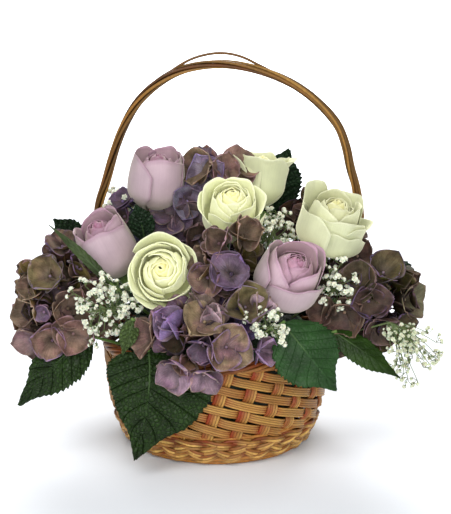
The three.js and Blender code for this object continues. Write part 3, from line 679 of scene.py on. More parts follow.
def foot_braid():
    """The flared foot: five strands of three canes plaited flat, on plain rings of cane."""
    surface = Surface()
    draw = np.random.default_rng(6)
    steps = 150 * BRAID_STRANDS
    turn = np.linspace(0, TURN * BRAID_STRANDS, steps, endpoint=False)
    phase = turn * (BRAID_WAVES / BRAID_STRANDS)
    for k, own_shade in enumerate(BRAID_SHADES):
        rise = BRAID_HALF * np.sin(phase) + (k - 1) * BRAID_GAP
        depth = BRAID_DEPTH * np.sin(4 * phase) + 0.5 * np.cos(k * 2 + turn * 3)
        spot = FOOT_MIDDLE + rise[:, None] * FOOT_RISE + depth[:, None] * FOOT_OUT
        path = round_wall(turn, spot[:, 0], np.clip(spot[:, 1], FOOT_LOW, FOOT_TOP))
        thick = BRAID_CANE + 0.12 * np.sin(turn * 2.3 + k)
        shade = own_shade + 0.12 * np.sin(turn * 1.3 + k * 2)[:, None]
        # Painted shade: where a strand dips under the others it is made darker and redder.
        on_top = smooth(0.55 + 0.7 * np.sin(4 * phase))
        tint = lerp(CANE_DARK, CANE_LIGHT, shade) * lerp(0.4, 1.0, on_top)[:, None]
        dye_and_shade = np.clip(0.6 - 0.6 * on_top + 0.25 * np.sin(turn * 5 + k * 2), 0.0, 0.9)
        mark = together(turn * 10, k, draw.random(), dye_and_shade)
        tint = tint[:, None] * painted_cane_shading(CANE_SIDES)
        hoop(surface, path, thick, CANE_SIDES, outward(turn), tint, mark)
    turn = around(120)
    for radius, height, thick in FOOT_RINGS:
        path = round_wall(turn, radius, height + 0.2 * np.sin(turn * 9))
        mark = together(turn * 9, 0, radius, 0.25)
        hoop(surface, path, thick, CANE_SIDES, outward(turn), CANE, mark)
    return surface


RIM_CANES = 6
RIM_TWISTS = 7
RIM_RADIUS = 112
RIM_HEIGHT = 105.4
RIM_CANE = 1.95
RIM_HALF_WIDTH = 3.5  # from the middle of the rope to the middle of its canes
RIM_HALF_HEIGHT = 3.9


def rim_braid():
    """The border round the top: six canes laid round each other like a rope."""
    surface = Surface()
    draw = np.random.default_rng(7)
    turn = around(420)
    for k in range(RIM_CANES):
        twist = turn * RIM_TWISTS + k * TURN / RIM_CANES
        radius = RIM_RADIUS + RIM_HALF_WIDTH * np.cos(twist)
        path = round_wall(turn, radius, RIM_HEIGHT + RIM_HALF_HEIGHT * np.sin(twist))
        dye_and_shade = 0.25 + 0.3 * draw.random() + 0.15 * np.sin(turn * RIM_TWISTS + k)
        mark = together(turn * 11, k, draw.random(), dye_and_shade)
        tint = lerp(CANE_DARK, CANE, draw.random()) * 0.75 * painted_cane_shading(CANE_SIDES, -twist)
        hoop(surface, path, RIM_CANE, CANE_SIDES, outward(turn), tint, mark)
    return surface


HANDLE_POINTS = [
    [-107, 0, 62], [-110, 1, 92], [-115, 3, 122], [-118, 4, 160], [-118.5, 5, 205], [-117, 5, 238],
    [-109.5, 5, 264], [-100.8, 5, 293], [-92.3, 5, 316], [-79.2, 5, 339], [-62.8, 5, 356.5],
    [-41.9, 5, 370], [-19.5, 5, 377], [5.1, 5, 379], [31.4, 5, 375.5], [58.5, 5, 367],
    [82.3, 5, 354.5], [102.8, 5, 338], [118.4, 5, 319], [127.3, 5, 298], [132.7, 5, 275],
    [138.4, 5, 254], [142, 5, 230], [140, 4, 195], [131, 3, 155], [118, 1, 120], [110, 0, 92],
    [107, 0, 62],
]
LOOSE_CANE_POINTS = [
    [-56, 5, 363.5], [-44, 5, 372.5], [-26, 5, 383.2], [-10, 5, 388.2], [6, 5, 389.6],
    [23, 5, 386.4], [42, 5, 377.5], [58, 5, 369.5],
]
HANDLE_LINE = smooth_path(HANDLE_POINTS, 120)
HANDLE_TWIST = 13  # in radians, over the whole handle
HANDLE_SPREAD = 3.05  # from the middle of the handle to the middle of its canes
HANDLE_CANE = 1.62
HANDLE_SIDES = 9  # of each of its canes
HANDLE_SHADES = [0.2, 0.9, 0.45, 0.1, 0.75, 0.35]  # of its canes
HANDLE_BROWN = rgb(60, 36, 10)
HANDLE_LIGHT = rgb(144, 107, 48)
LOOSE_CANE = 1.35


def handle_cane(k):
    """One of the canes that are twisted together into the handle."""
    surface = Surface()
    path = smooth_path(HANDLE_POINTS, 260)
    out = np.array([0, 1.0, 0])
    side = unit(np.cross(np.gradient(path, axis=0), out))
    share = np.linspace(0, 1, len(path))
    twist = HANDLE_TWIST * share + 0.3 * np.sin(share * 23 + k) + k * TURN / len(HANDLE_SHADES)
    reach = HANDLE_SPREAD + 0.2 * np.sin(share * 31 + k * 1.7)
    path = path + out * (reach * np.cos(twist))[:, None] + side * (reach * np.sin(twist))[:, None]
    thick = HANDLE_CANE + 0.14 * np.sin(share * 40 + k * 2.4)
    tint = lerp(HANDLE_BROWN, HANDLE_LIGHT, HANDLE_SHADES[k])
    dye_and_shade = np.clip(0.05 + 0.1 * np.sin(share * 17 + k * 2), 0, 1)
    mark = together(share * 90, 0, 0.3 + k, dye_and_shade)
    rings = sweep(path, round_section(thick, HANDLE_SIDES), out)
    surface.tube(rings, tint * painted_cane_shading(HANDLE_SIDES, twist), mark[:, None])
    return surface


def loose_cane():
    """The cane that has sprung loose above the arch."""
    surface = Surface()
    tint = lerp(HANDLE_BROWN, HANDLE_LIGHT, 0.3)
    round_stick(surface, smooth_path(LOOSE_CANE_POINTS, 60), LOOSE_CANE, 8, tint, (0, 0, 0.5, 0.1))
    return surface


# ---------------------------------------------------------------- stems

STEM_GREEN = rgb(84, 110, 58)
CALYX_GREEN = rgb(96, 122, 62)
# The cup of a calyx: heights under the bloom, and the radius at each.
CALYX_HEIGHTS = np.array([-13, -11, -8, -4.5, -2, -0.4])
CALYX_RADII = np.array([2.4, 4.2, 5.8, 6.6, 6.2, 5.2])
CALYX_SEPALS = 5
CALYX_THICKNESS = 0.6


def stem_way(point):
    """The way of a stem that ends at some point."""
    return unit(np.asarray(point, float) - FOCUS)


def stem_to(surface, point, radius, past=0.0, tint=STEM_GREEN):
    """The straight stem from inside the foam to a point, or some way past it."""
    way = stem_way(point)
    path = arc_path(FOCUS + way * STEM_START, point + way * past, 0, 12)
    thick = radius * (1 + 0.05 * np.sin(np.arange(12) * 1.9))
    round_stick(surface, path, thick, 8, tint)


class Bloom:
    """A flower's own frame: its axis, and the ways to its front and its right."""

    def __init__(self, base, axis):
        self.base = np.asarray(base, float)
        self.axis = unit(axis)
        self.right = unit(np.cross([0, 1.0, 0], self.axis))
        self.front = np.cross(self.right, self.axis)

    def at(self, angle, radius, height):
        """Points at some angle from the front, turning to the right."""
        way = np.cos(angle)[..., None] * self.front + np.sin(angle)[..., None] * self.right
        return self.base + way * radius[..., None] + self.axis * height[..., None]


def calyx(surface, bloom):
    """The swollen cup under a rose, with five sepals turned down."""
    cup = bloom.at(-around(14)[None], CALYX_RADII[:, None], CALYX_HEIGHTS[:, None])
    surface.tube(cup, CALYX_GREEN, PLAIN)
    for k in range(CALYX_SEPALS):
        t = np.linspace(0, 1, 12)[:, None]
        u = np.linspace(-1, 1, 5)[None]
        width = 0.55 * (1 - t ** 1.6) + 0.03
        angle = k * TURN / CALYX_SEPALS + 0.3 + u * width * (1 - 0.45 * t)
        radius = 5.5 + 13 * t ** 0.9
        height = -2.2 - 8.5 * t ** 1.7 - 1.2 * np.abs(u) * (1 - t)
        grid = bloom.at(angle, radius, height)
        surface.plate(grid, CALYX_THICKNESS, CALYX_GREEN, PLAIN, CALYX_GREEN * 1.3)


# ---------------------------------------------------------------- roses

# A kind's colours, how much of the edge colour shows, and how wavy its rims are.
# Edge colour: a painted highlight on white petals, dusky rims and painted shade on lavender.
WHITE = {"outer": rgb(224, 228, 184), "inner": rgb(240, 241, 192), "heart": rgb(246, 238, 150),
         "base": rgb(226, 229, 170), "edge": rgb(236, 237, 206), "rim": 0.3, "ruffle": 1.5}
LAVENDER = {"outer": rgb(176, 154, 162), "inner": rgb(182, 148, 162), "heart": rgb(170, 108, 134),
            "base": rgb(176, 162, 154), "edge": rgb(148, 110, 132), "rim": 0.7, "ruffle": 0.5}

# Painted light and shade: how light a bloom is made beside the others of its kind.
PAINTED_ROSE_LIGHT = {"rose_white_right": 0.72, "rose_white_back": 0.78, "rose_lavender_top": 0.9,
              "rose_lavender_front": 1.12}

DOME_PETALS = 12
PETAL_STEPS = 19
PETAL_FOOT = 3  # the radius where the petals start
PETAL_BELLY = 0.45  # where a petal is widest, as a share of its length
PETAL_THICK = 0.9  # at its base
PETAL_THIN = 0.5  # at its rim
PETAL_TURN = 0.8 * math.pi / 2  # how far a petal turns in over its belly


def petal_grid(bloom, angle, wrap, rim, top, belly, roll, curl, corner, lap, skew, seed, ruffle):
    """A petal as a grid of points. It widens from its base to its belly, closes or opens
    to its rim, and its lip rolls outwards, more so at its corners."""
    v = np.linspace(0, 1, PETAL_STEPS)[:, None]
    u = np.linspace(-1, 1, PETAL_STEPS)[None]
    side = np.abs(u)
    reach = v * (1 - corner * side ** 2.3 * smooth(v * 1.4)) * (1 + skew * u * v)
    start = 1 - roll * (0.3 + 0.7 * side ** 1.5)
    past = np.clip(reach - start, 0, 1) * top
    body = np.minimum(reach, start)
    below = np.minimum(body / PETAL_BELLY, 1)
    above = np.clip((body - PETAL_BELLY) / (1 - PETAL_BELLY), 0, 1)
    share = (1 - np.cos(above * PETAL_TURN)) / (1 - math.cos(PETAL_TURN))
    swell = np.sin(below * math.pi / 2) ** 0.7
    radius = PETAL_FOOT + (belly - PETAL_FOOT) * swell + (rim - belly) * share
    height = top * (0.42 * below + 0.58 * np.sin(above * PETAL_TURN) / math.sin(PETAL_TURN))
    slope = np.arctan2((rim - belly) * 1.3, 0.42 * top) * above
    bend = np.minimum(past / curl, 2.7)
    radius = radius + curl * (np.cos(slope) - np.cos(slope + bend))
    height = height + curl * (np.sin(slope + bend) - np.sin(slope))
    ripple = 0.35 * np.sin(u * 5 + seed * 9) + 0.22 * np.sin(u * 11 + seed * 23)
    radius = radius + lap * u * rim * smooth(v * 2)
    radius = radius + ripple * smooth((v - 0.5) * 2) * (0.5 + belly / 22)
    notch = 0.5 * np.sin(u * 7 + seed * 17) + 0.9 * np.sin(u * 2.6 + seed * 31)
    height = height + ruffle * notch * smooth((v - 0.6) * 2.5) * (belly / 26)
    width = wrap * (0.4 + 0.6 * np.sin(np.minimum(v / 0.62, 1) * math.pi / 2) ** 0.8)
    return bloom.at(angle + u * width, np.maximum(radius, 0.5), height), v, u


# Each rose's outer petals, one after another outwards: angle from the front in degrees,
# half width in degrees, then as shares of the bloom's radius and height the rim's radius,
# the rim's height and the belly's radius, then how much of the petal rolls and its corners.
OUTER_PETALS = {
    "rose_lavender_top": [
        (150, 62, 0.66, 1.02, 0.80, 0.10, 0.20), (-120, 60, 0.70, 1.0, 0.84, 0.12, 0.22),
        (95, 62, 0.72, 0.98, 0.88, 0.12, 0.26), (28, 66, 0.74, 0.99, 0.92, 0.09, 0.20),
        (-68, 62, 0.80, 0.97, 0.97, 0.12, 0.30), (125, 60, 0.86, 0.92, 1.0, 0.16, 0.30)],
    "rose_lavender_left": [
        (170, 62, 0.60, 1.0, 0.78, 0.10, 0.2), (60, 60, 0.66, 1.0, 0.84, 0.12, 0.24),
        (-70, 62, 0.70, 0.98, 0.88, 0.12, 0.24), (120, 60, 0.80, 0.96, 0.92, 0.16, 0.3),
        (12, 64, 0.78, 0.97, 0.94, 0.10, 0.2), (-118, 60, 0.95, 0.80, 0.98, 0.2, 0.3)],
    "rose_lavender_front": [
        (170, 62, 0.62, 1.0, 0.80, 0.12, 0.2), (60, 60, 0.66, 0.98, 0.84, 0.12, 0.24),
        (-60, 64, 0.70, 0.98, 0.88, 0.14, 0.26), (130, 60, 0.84, 0.96, 0.94, 0.18, 0.3),
        (-95, 60, 0.88, 0.94, 0.98, 0.20, 0.3), (25, 66, 0.98, 0.80, 1.0, 0.16, 0.34)],
    "rose_white_middle": [
        (180, 62, 0.50, 0.88, 0.62, 0.10, 0.18), (-60, 62, 0.57, 0.86, 0.66, 0.12, 0.2),
        (60, 64, 0.66, 0.84, 0.70, 0.16, 0.24), (150, 62, 0.77, 0.84, 0.75, 0.20, 0.28),
        (-130, 64, 0.87, 0.81, 0.79, 0.22, 0.3), (5, 68, 0.86, 0.73, 0.83, 0.24, 0.28),
        (90, 60, 1.0, 0.73, 0.85, 0.24, 0.34), (-75, 60, 1.03, 0.71, 0.87, 0.26, 0.34),
        (-30, 58, 1.04, 0.59, 0.90, 0.28, 0.36), (40, 58, 1.04, 0.56, 0.92, 0.28, 0.36)],
    "rose_white_back": [
        (180, 60, 0.66, 1.0, 0.74, 0.12, 0.2), (-60, 60, 0.74, 1.0, 0.76, 0.14, 0.24),
        (60, 60, 0.82, 1.0, 0.78, 0.14, 0.26), (-150, 60, 0.96, 1.0, 0.78, 0.18, 0.3),
        (95, 56, 1.15, 1.0, 0.74, 0.18, 0.34), (-90, 58, 1.16, 1.0, 0.74, 0.16, 0.34),
        (5, 62, 1.0, 1.0, 0.78, 0.14, 0.26)],
    "rose_white_right": [
        (180, 60, 0.52, 0.98, 0.66, 0.10, 0.18), (70, 60, 0.60, 0.96, 0.72, 0.12, 0.2),
        (-50, 62, 0.68, 0.93, 0.80, 0.12, 0.22), (140, 60, 0.84, 0.94, 0.86, 0.16, 0.26),
        (-120, 52, 1.0, 1.04, 0.90, 0.10, 0.42), (10, 64, 0.86, 0.84, 0.94, 0.16, 0.24),
        (78, 60, 1.12, 0.74, 0.98, 0.22, 0.34), (-62, 60, 0.98, 0.82, 1.0, 0.16, 0.3),
        (30, 50, 1.05, 0.62, 1.0, 0.22, 0.36)],
    "rose_white_front": [
        (170, 64, 0.50, 0.87, 0.64, 0.10, 0.16), (50, 64, 0.56, 0.85, 0.66, 0.12, 0.18),
        (-70, 66, 0.63, 0.83, 0.70, 0.14, 0.2), (120, 66, 0.72, 0.80, 0.75, 0.18, 0.22),
        (-140, 66, 0.80, 0.76, 0.79, 0.20, 0.24), (-15, 68, 0.87, 0.72, 0.82, 0.22, 0.26),
        (-95, 64, 0.96, 0.68, 0.85, 0.24, 0.3), (75, 64, 1.01, 0.64, 0.88, 0.24, 0.32),
        (165, 64, 1.07, 0.60, 0.90, 0.24, 0.32), (-45, 60, 1.10, 0.55, 0.92, 0.26, 0.34),
        (20, 58, 1.10, 0.51, 0.94, 0.26, 0.36)],
}


def rose_petals(name, seed):
    """The petals of a rose as keywords for petal_grid, with the layer of each: a dome of
    petals that spiral round its heart, then the outer ones."""
    _, _, radius, height, open_ = ROSES[name]
    draw = np.random.default_rng(seed)
    petals = []
    reach = lerp(0.34, 0.46, open_)
    sink = lerp(0.08, 0.14, open_)
    for k in range(DOME_PETALS):
        share = k / (DOME_PETALS - 1)
        petals.append(dict(
            layer=0.55 * share, angle=k * 2.4 + draw.uniform(-0.25, 0.25),
            wrap=lerp(2.9, 1.05, share ** 0.3), rim=radius * (0.015 + reach * share ** 1.1),
            top=height * (0.99 - sink * share ** lerp(1.4, 0.8, open_) + draw.uniform(-0.01, 0.01)),
            belly=radius * lerp(0.3, lerp(0.74, 0.6, open_), share), roll=lerp(0.02, 0.08, share),
            curl=lerp(1.4, 2.6, share), corner=0.14, lap=lerp(0.34, 0.12, share),
            skew=draw.uniform(-0.02, 0.02)))
    outer = OUTER_PETALS[name]
    for k, (angle, wrap, rim, top, belly, roll, corner) in enumerate(outer):
        petals.append(dict(
            layer=lerp(0.65, 1, k / (len(outer) - 1)), angle=math.radians(angle),
            wrap=math.radians(wrap), rim=radius * rim, top=height * top, belly=radius * belly,
            roll=roll, curl=lerp(3.0, 5.2, draw.random()) * roll / 0.16, corner=corner,
            lap=lerp(0.04, 0.12, open_), skew=draw.uniform(-0.06, 0.06)))
    return petals


def rose(name, seed):
    """The bloom of a rose, petal by petal, and the frame that it stands in."""
    at, face, _, height, _ = ROSES[name]
    colours = WHITE if "white" in name else LAVENDER
    bloom = Bloom(np.array(at) - unit(face) * height / 2, face)
    surface = Surface()
    draw = np.random.default_rng(seed + 100)
    for shape in rose_petals(name, seed):
        layer = shape.pop("layer")
        own = draw.random()
        grid, v, u = petal_grid(bloom, seed=own, ruffle=colours["ruffle"] * layer + 0.6, **shape)
        tint = lerp(colours["heart"], colours["inner"], smooth(layer * 2.2))
        tint = lerp(tint, colours["outer"], smooth(layer * 2 - 1))
        tint = lerp(colours["base"], tint, smooth(v * 1.5)[..., None])
        # along the rim and the sides: on white petals a painted highlight, on lavender dusky rims and
        # painted shade
        edge = np.maximum(smooth((v - 0.88) / 0.12), smooth((np.abs(u) - 0.9) / 0.1) * v)
        tint = lerp(tint, colours["edge"], edge[..., None] * colours["rim"])
        # a random tone for each petal, times the bloom's painted light and shade
        tint = tint * draw.uniform(0.93, 1.03) * PAINTED_ROSE_LIGHT.get(name, 1)
        thickness = lerp(PETAL_THICK, PETAL_THIN, smooth(v * 1.2))[..., None]
        surface.plate(grid, thickness, tint, together(v, u, own, 0))
    return surface, bloom


# ---------------------------------------------------------------- hydrangeas

OLIVE = rgb(106, 100, 44)
MOSS = rgb(74, 76, 30)
SAGE = rgb(124, 132, 92)
TAUPE = rgb(112, 97, 54)
BROWN = rgb(82, 66, 40)
RUSSET = rgb(102, 76, 56)
MAUVE = rgb(121, 91, 78)
PLUM = rgb(60, 41, 36)
LILAC = rgb(150, 122, 146)
VIOLET = rgb(108, 90, 130)
SLATE = rgb(156, 158, 190)
INK = rgb(60, 52, 92)
PINK = rgb(150, 104, 126)
PALE = rgb(186, 160, 168)

PALETTES = {
    "taupe": [BROWN, RUSSET, TAUPE, MAUVE, OLIVE],
    "mauve": [MAUVE, TAUPE, VIOLET, PINK],
    "lilac": [LILAC, TAUPE, VIOLET, MAUVE],
    "olive": [OLIVE, RUSSET, MOSS, PLUM, MAUVE],
    "green": [OLIVE, BROWN, TAUPE, VIOLET],
    "blue": [INK, VIOLET, PLUM, SLATE],
    "dark": [PLUM, INK, BROWN, MAUVE],
}
SEPAL_EDGES = [rgb(164, 134, 142), rgb(136, 114, 154), rgb(164, 144, 122)]
SEPAL_UNDER = rgb(134, 116, 104)

# Florets that show: the head, the middle, the way it faces, the sepals' length, how steeply
# they rise, how much they bend in, and the colours of the sepals and of their heart.
SHOWN_FLORETS = {
    "hydrangea_front": [
        ([9, -134, 134], [0.1, -1, 0.25], 30, 0.15, 0.7, TAUPE, PINK),
        ([-38, -128, 113], [-0.35, -0.85, -0.45], 27, 0.4, 0.9, LILAC, VIOLET),
        ([-12, -127, 106], [0.1, -0.8, -0.6], 24, 0.2, 0.6, LILAC, VIOLET),
        ([-36, -124, 148], [-0.5, -0.6, 0.6], 29, 0.9, 0.3, VIOLET, LILAC),
        ([-59, -116, 141], [-0.9, -0.5, 0.3], 26, 0.4, 0.5, MAUVE, PLUM),
        ([-11, -126, 155], [0.1, -0.7, 0.7], 27, 0.3, 0.2, TAUPE, MAUVE),
        ([38, -122, 128], [0.8, -0.7, -0.1], 23, 0.5, 0.4, LILAC, VIOLET),
        ([-48, -116, 148], [-0.5, -0.3, 1], 24, 1.2, 0.2, PALE, VIOLET),
        ([-4, -118, 150], [0.2, -0.4, 1], 22, 1.2, 0.2, PALE, PLUM),
        ([-24, -118, 136], [0.1, -0.5, 1], 22, 1.1, 0.2, MAUVE, PLUM)],
    "hydrangea_middle": [
        ([27, -102, 163], [0.05, -0.85, 0.5], 35, 0.7, 0.45, OLIVE, MOSS),
        ([14, -98, 194], [-0.1, -0.9, 0.5], 28, 0.4, 0.6, VIOLET, INK),
        ([3, -84, 220], [-0.35, -0.8, 0.5], 27, 0.6, 0.9, BROWN, PLUM),
        ([24, -80, 226], [0.3, -0.7, 0.6], 26, 0.7, 0.8, BROWN, BROWN),
        ([47, -88, 176], [0.9, -0.5, 0.2], 26, 0.7, 0.4, RUSSET, VIOLET),
        ([-6, -84, 200], [-0.8, -0.6, 0.3], 25, 0.5, 0.6, BROWN, PLUM),
        ([-8, -95, 190], [-0.3, -0.9, 0.3], 24, 0.4, 0.6, MAUVE, BROWN),
        ([40, -106, 160], [0.5, -0.5, 0.9], 22, 1.1, 0.2, PALE, VIOLET)],
    "hydrangea_left": [
        ([-160, -60, 182], [-0.3, -0.8, 0.5], 29, 0.3, 0.9, OLIVE, MOSS),
        ([-144, -66, 152], [0.3, -0.95, 0.1], 28, 0.45, 0.9, BROWN, MAUVE),
        ([-178, -54, 145], [-0.7, -0.7, 0.1], 24, 0.3, 0.7, BROWN, OLIVE),
        ([-166, -68, 149], [-0.2, -1, 0.1], 14, 0.4, 0.4, VIOLET, INK),
        ([-177, -56, 120], [-0.5, -0.8, -0.3], 24, 0.3, 0.6, MAUVE, LILAC),
        ([-121, -50, 136], [0.5, -0.8, -0.1], 22, 0.4, 0.6, BROWN, PLUM),
        ([-158, -76, 123], [-0.1, -1, 0.1], 26, 0.2, 0.7, MAUVE, RUSSET),
        ([-138, -78, 130], [0.2, -1, 0.2], 24, 0.2, 0.6, RUSSET, MAUVE),
        ([-149, -48, 208], [-0.1, -0.6, 0.8], 23, 0.4, 0.5, BROWN, PLUM),
        ([-126, -58, 163], [0.5, -0.8, 0.2], 23, 0.4, 0.8, RUSSET, PLUM),
        ([-132, -46, 190], [0.2, -0.8, 0.5], 22, 0.3, 0.7, BROWN, PLUM),
        ([-176, -44, 158], [-0.6, -0.7, 0.2], 21, 0.5, 0.7, PLUM, MAUVE),
        ([-152, -50, 168], [-0.2, -0.9, 0.2], 22, 0.5, 0.6, PLUM, VIOLET),
        ([-166, -50, 132], [-0.3, -0.9, -0.1], 23, 0.5, 0.6, PLUM, BROWN),
        ([-175, -52, 168], [-0.6, -0.7, 0.4], 22, 0.6, 0.6, BROWN, TAUPE)],
    "hydrangea_top": [
        ([-17, 3, 274], [-0.4, -0.8, 0.5], 25, 0.2, 0.6, TAUPE, MAUVE),
        ([19, 8, 275], [0.3, -0.6, 0.7], 26, 0.1, 0.2, MAUVE, TAUPE),
        ([-9, 0, 269], [-0.1, -0.9, 0.3], 26, 0.2, 0.5, VIOLET, SLATE),
        ([6, 2, 272], [0.2, -0.8, 0.4], 22, 0.5, 0.4, MAUVE, PLUM)],
    "hydrangea_right": [
        ([160, -62, 186], [0.15, -0.8, 0.6], 29, 0.4, 0.9, OLIVE, MOSS),
        ([137, -70, 179], [-0.2, -0.9, 0.4], 27, 0.2, 0.6, MOSS, OLIVE),
        ([181, -53, 157], [0.8, -0.6, 0.2], 24, 0.3, 0.5, SAGE, OLIVE),
        ([123, -78, 152], [-0.3, -0.9, -0.1], 28, 0.2, 0.7, RUSSET, PLUM),
        ([145, -80, 163], [0, -0.95, 0.2], 26, 0.4, 0.6, PLUM, RUSSET),
        ([155, -76, 140], [0.3, -0.9, -0.3], 27, 0.3, 0.6, PLUM, MAUVE),
        ([137, -42, 197], [-0.2, -0.7, 0.7], 22, 0.3, 0.5, MAUVE, PLUM),
        ([118, -78, 126], [-0.2, -0.8, -0.6], 24, 0.2, 0.4, PLUM, RUSSET),
        ([104, -78, 152], [-0.4, -0.8, 0.2], 22, 0.3, 0.6, RUSSET, PLUM),
        ([175, -62, 136], [0.6, -0.8, -0.2], 23, 0.3, 0.6, MOSS, OLIVE)],
    "hydrangea_under_rose": [
        ([-30, -12, 246], [0.3, -0.9, 0.1], 24, 0.1, 0.3, SLATE, VIOLET),
        ([-44, -18, 231], [0, -0.7, 0.7], 27, 0.1, 0.3, INK, VIOLET),
        ([-26, -16, 226], [0.1, -0.9, 0.4], 24, 0.3, 0.4, INK, PLUM),
        ([-92, -8, 244], [-0.5, -0.6, 0.7], 16, 0.2, 0.4, INK, VIOLET),
        ([-90, -10, 230], [-0.6, -0.7, 0.2], 17, 0.2, 0.4, INK, PLUM),
        ([-20, -24, 212], [0.2, -0.9, 0.1], 22, 0.4, 0.4, PLUM, BROWN),
        ([-37, -14, 201], [0, -0.9, 0.3], 25, 0.3, 0.4, INK, PLUM)],
}


SEPAL_STEPS = 13
SEPAL_HALF = 0.64  # half its width, as a share of its length
SEPAL_THICKNESS = 0.5
SEPAL_LIFT = 0.7  # of every other sepal, which lies over its neighbours
FLORET_STALK = 0.8
BUTTON_OUTLINE = ((0.9, 0.2), (1.7, 1.2), (1.5, 2.4), (0.5, 3.1))


def sepal_shape(size, rise, bend, hollow, wave, phase):
    """A rounded sepal like a spoon, in its floret's frame: it lies out along +X, starts at
    some slope and bends in towards the floret's axis."""
    v = np.sin(np.linspace(0, 1, SEPAL_STEPS) * math.pi / 2)[:, None]
    u = np.linspace(-1, 1, SEPAL_STEPS)[None]
    outline = np.sin(math.pi * (0.03 + 0.965 * v) ** 0.78) ** 0.5
    run = v * (1 - 0.07 * u ** 2)
    bend = max(bend, 0.05)
    slope = rise + bend * run
    out = (np.sin(slope) - math.sin(rise)) / bend
    up = (math.cos(rise) - np.cos(slope)) / bend
    dish = hollow * u ** 2 * outline + wave * np.sin(u * 3.4 + phase + v * 3.0) * v
    dish = dish + 0.35 * wave * np.sin(u * 8 + phase * 2 + v * 5) * v ** 2
    grid = together(out - np.sin(slope) * dish, SEPAL_HALF * u * outline, up + np.cos(slope) * dish)
    return size * grid, v, u


def floret(surface, centre, axis, size, rise, bend, colours, shade, draw, neck):
    """Four overlapping sepals round a small button, on a stalk from the head's neck."""
    axis = unit(axis)
    side = across_of(axis)
    over = np.cross(axis, side)
    turn = draw.uniform(0, math.pi / 2)
    own = draw.random()
    main, heart = colours
    edge = SEPAL_EDGES[draw.integers(len(SEPAL_EDGES))]
    for k in range(4):
        angle = turn + k * math.pi / 2 + draw.uniform(-0.2, 0.2)
        grid, v, u = sepal_shape(size * draw.uniform(0.84, 1.1), rise + draw.uniform(-0.25, 0.3),
                                 bend + draw.uniform(-0.2, 0.4), draw.uniform(0.05, 0.3),
                                 draw.uniform(0.02, 0.06), draw.uniform(0, 6))
        grid = grid + [0, 0, SEPAL_LIFT if k % 2 else 0.0]
        way = side * math.cos(angle) + over * math.sin(angle)
        points = stand(grid, centre, way, np.cross(axis, way), axis)
        face = lerp(main, heart, draw.uniform(0, 0.35))
        tint = lerp(heart, face, smooth(v * 2.2 - 0.1)[..., None])
        rim = smooth((np.maximum(v, np.abs(u)) - 0.9) / 0.1)[..., None]
        tint = lerp(tint, edge, rim * draw.uniform(0.35, 0.95))
        # painted shade: darker towards the floret's middle, and by the painted shade of its layer
        tint = tint * lerp(0.32, 1.04, smooth(v * 1.9))[..., None] * draw.uniform(0.7, 1.12) * shade
        under = lerp(tint, SEPAL_UNDER * shade, 0.4)
        surface.plate(points, SEPAL_THICKNESS, tint, together(v, u, own, draw.random()), under)
    mark = (0.5, 0, own, own)
    button(surface, centre, axis, BUTTON_OUTLINE, lerp(edge, main, 0.5), mark)
    stalk = arc_path(neck, centre, (centre - neck) * 0.06 + axis * 3, 7)
    round_stick(surface, stalk, FLORET_STALK, 5, main * 0.7, mark)


def even_directions(count, offset):
    """Ways that are spread evenly all round, turned by some offset."""
    k = np.arange(count)
    z = 1 - (2 * k + 1) / count
    r = np.sqrt(1 - z * z)
    turn = k * math.pi * (3 - math.sqrt(5)) + offset
    return together(r * np.cos(turn), r * np.sin(turn), z)


# Nothing stands nearer the axis than these radii, below the height beside each.
KEPT_CLEAR = ((120, 116), (88, 134))
HANDLE_CLEAR = 7


def is_free(point, room):
    """Whether a point keeps clear of the roses, the basket, its filling and the handle."""
    for at, face, radius, height, _ in ROSES.values():
        axis = unit(face)
        offset = point - np.array(at)
        along = offset @ axis
        away = np.linalg.norm(offset - along * axis)
        if abs(along) < height / 2 + room * 0.3 and away < radius + room:
            return False
    for radius, height in KEPT_CLEAR:
        if point[2] < height and np.hypot(point[0], point[1]) < radius:
            return False
    return np.min(np.linalg.norm(HANDLE_LINE - point, axis=1)) > HANDLE_CLEAR


# Layers of a head's florets: their reach and spacing, the sepals' length and their painted shade.
HEAD_LAYERS = ((0.74, 26.0, 23.0, 0.8), (0.54, 22.0, 23.0, 0.3))
FLORET_ROOM = 13  # from a floret of the outer layer to the nearest one that shows
NECK_SIDE = -0.62  # past this a floret would face back down the stem
HEAD_SHADE = {"hydrangea_right": 0.64, "hydrangea_back_right": 0.8, "hydrangea_under_rose": 0.72}


def hydrangea(name, seed):
    """A head of florets on stalks from its neck: the ones that show, then all the rest."""
    at, radii, palette = HEADS[name]
    centre = np.array(at, float)
    radii = np.array(radii, float)
    surface = Surface()
    draw = np.random.default_rng(seed)
    way = stem_way(centre)
    neck = centre - way * 0.45 * radii.min()
    shown = SHOWN_FLORETS.get(name, [])
    tone = HEAD_SHADE.get(name, 1.0)
    choice = PALETTES[palette]
    for middle, facing, size, rise, bend, main, heart in shown:
        middle = np.array(middle, float)
        floret(surface, middle, facing, size, rise, bend, (main, heart), tone, draw, neck)
    area = (radii[0] * radii[1] + radii[1] * radii[2] + radii[2] * radii[0]) / 3
    for reach, spacing, size, shade in HEAD_LAYERS:
        count = int(4 * math.pi * area * reach ** 2 / spacing ** 2 * 1.25)
        for direction in even_directions(count, seed):
            if direction @ way < NECK_SIDE:
                continue
            here = centre + direction * radii * reach * draw.uniform(0.93, 1.05)
            nearest = min([np.linalg.norm(here - spot[0]) for spot in shown], default=99)
            if not is_free(here, 3) or (shade > 0.5 and nearest < FLORET_ROOM):
                continue
            out = unit(direction / radii) + draw.uniform(-0.55, 0.55, 3)
            colours = [choice[draw.integers(len(choice))] for _ in range(2)]
            floret(surface, here, out, size * draw.uniform(0.85, 1.1), draw.uniform(0.2, 1.1),
                   draw.uniform(0.2, 1.0), colours, shade * tone, draw, neck)
    return surface, neck


# ---------------------------------------------------------------- leaves

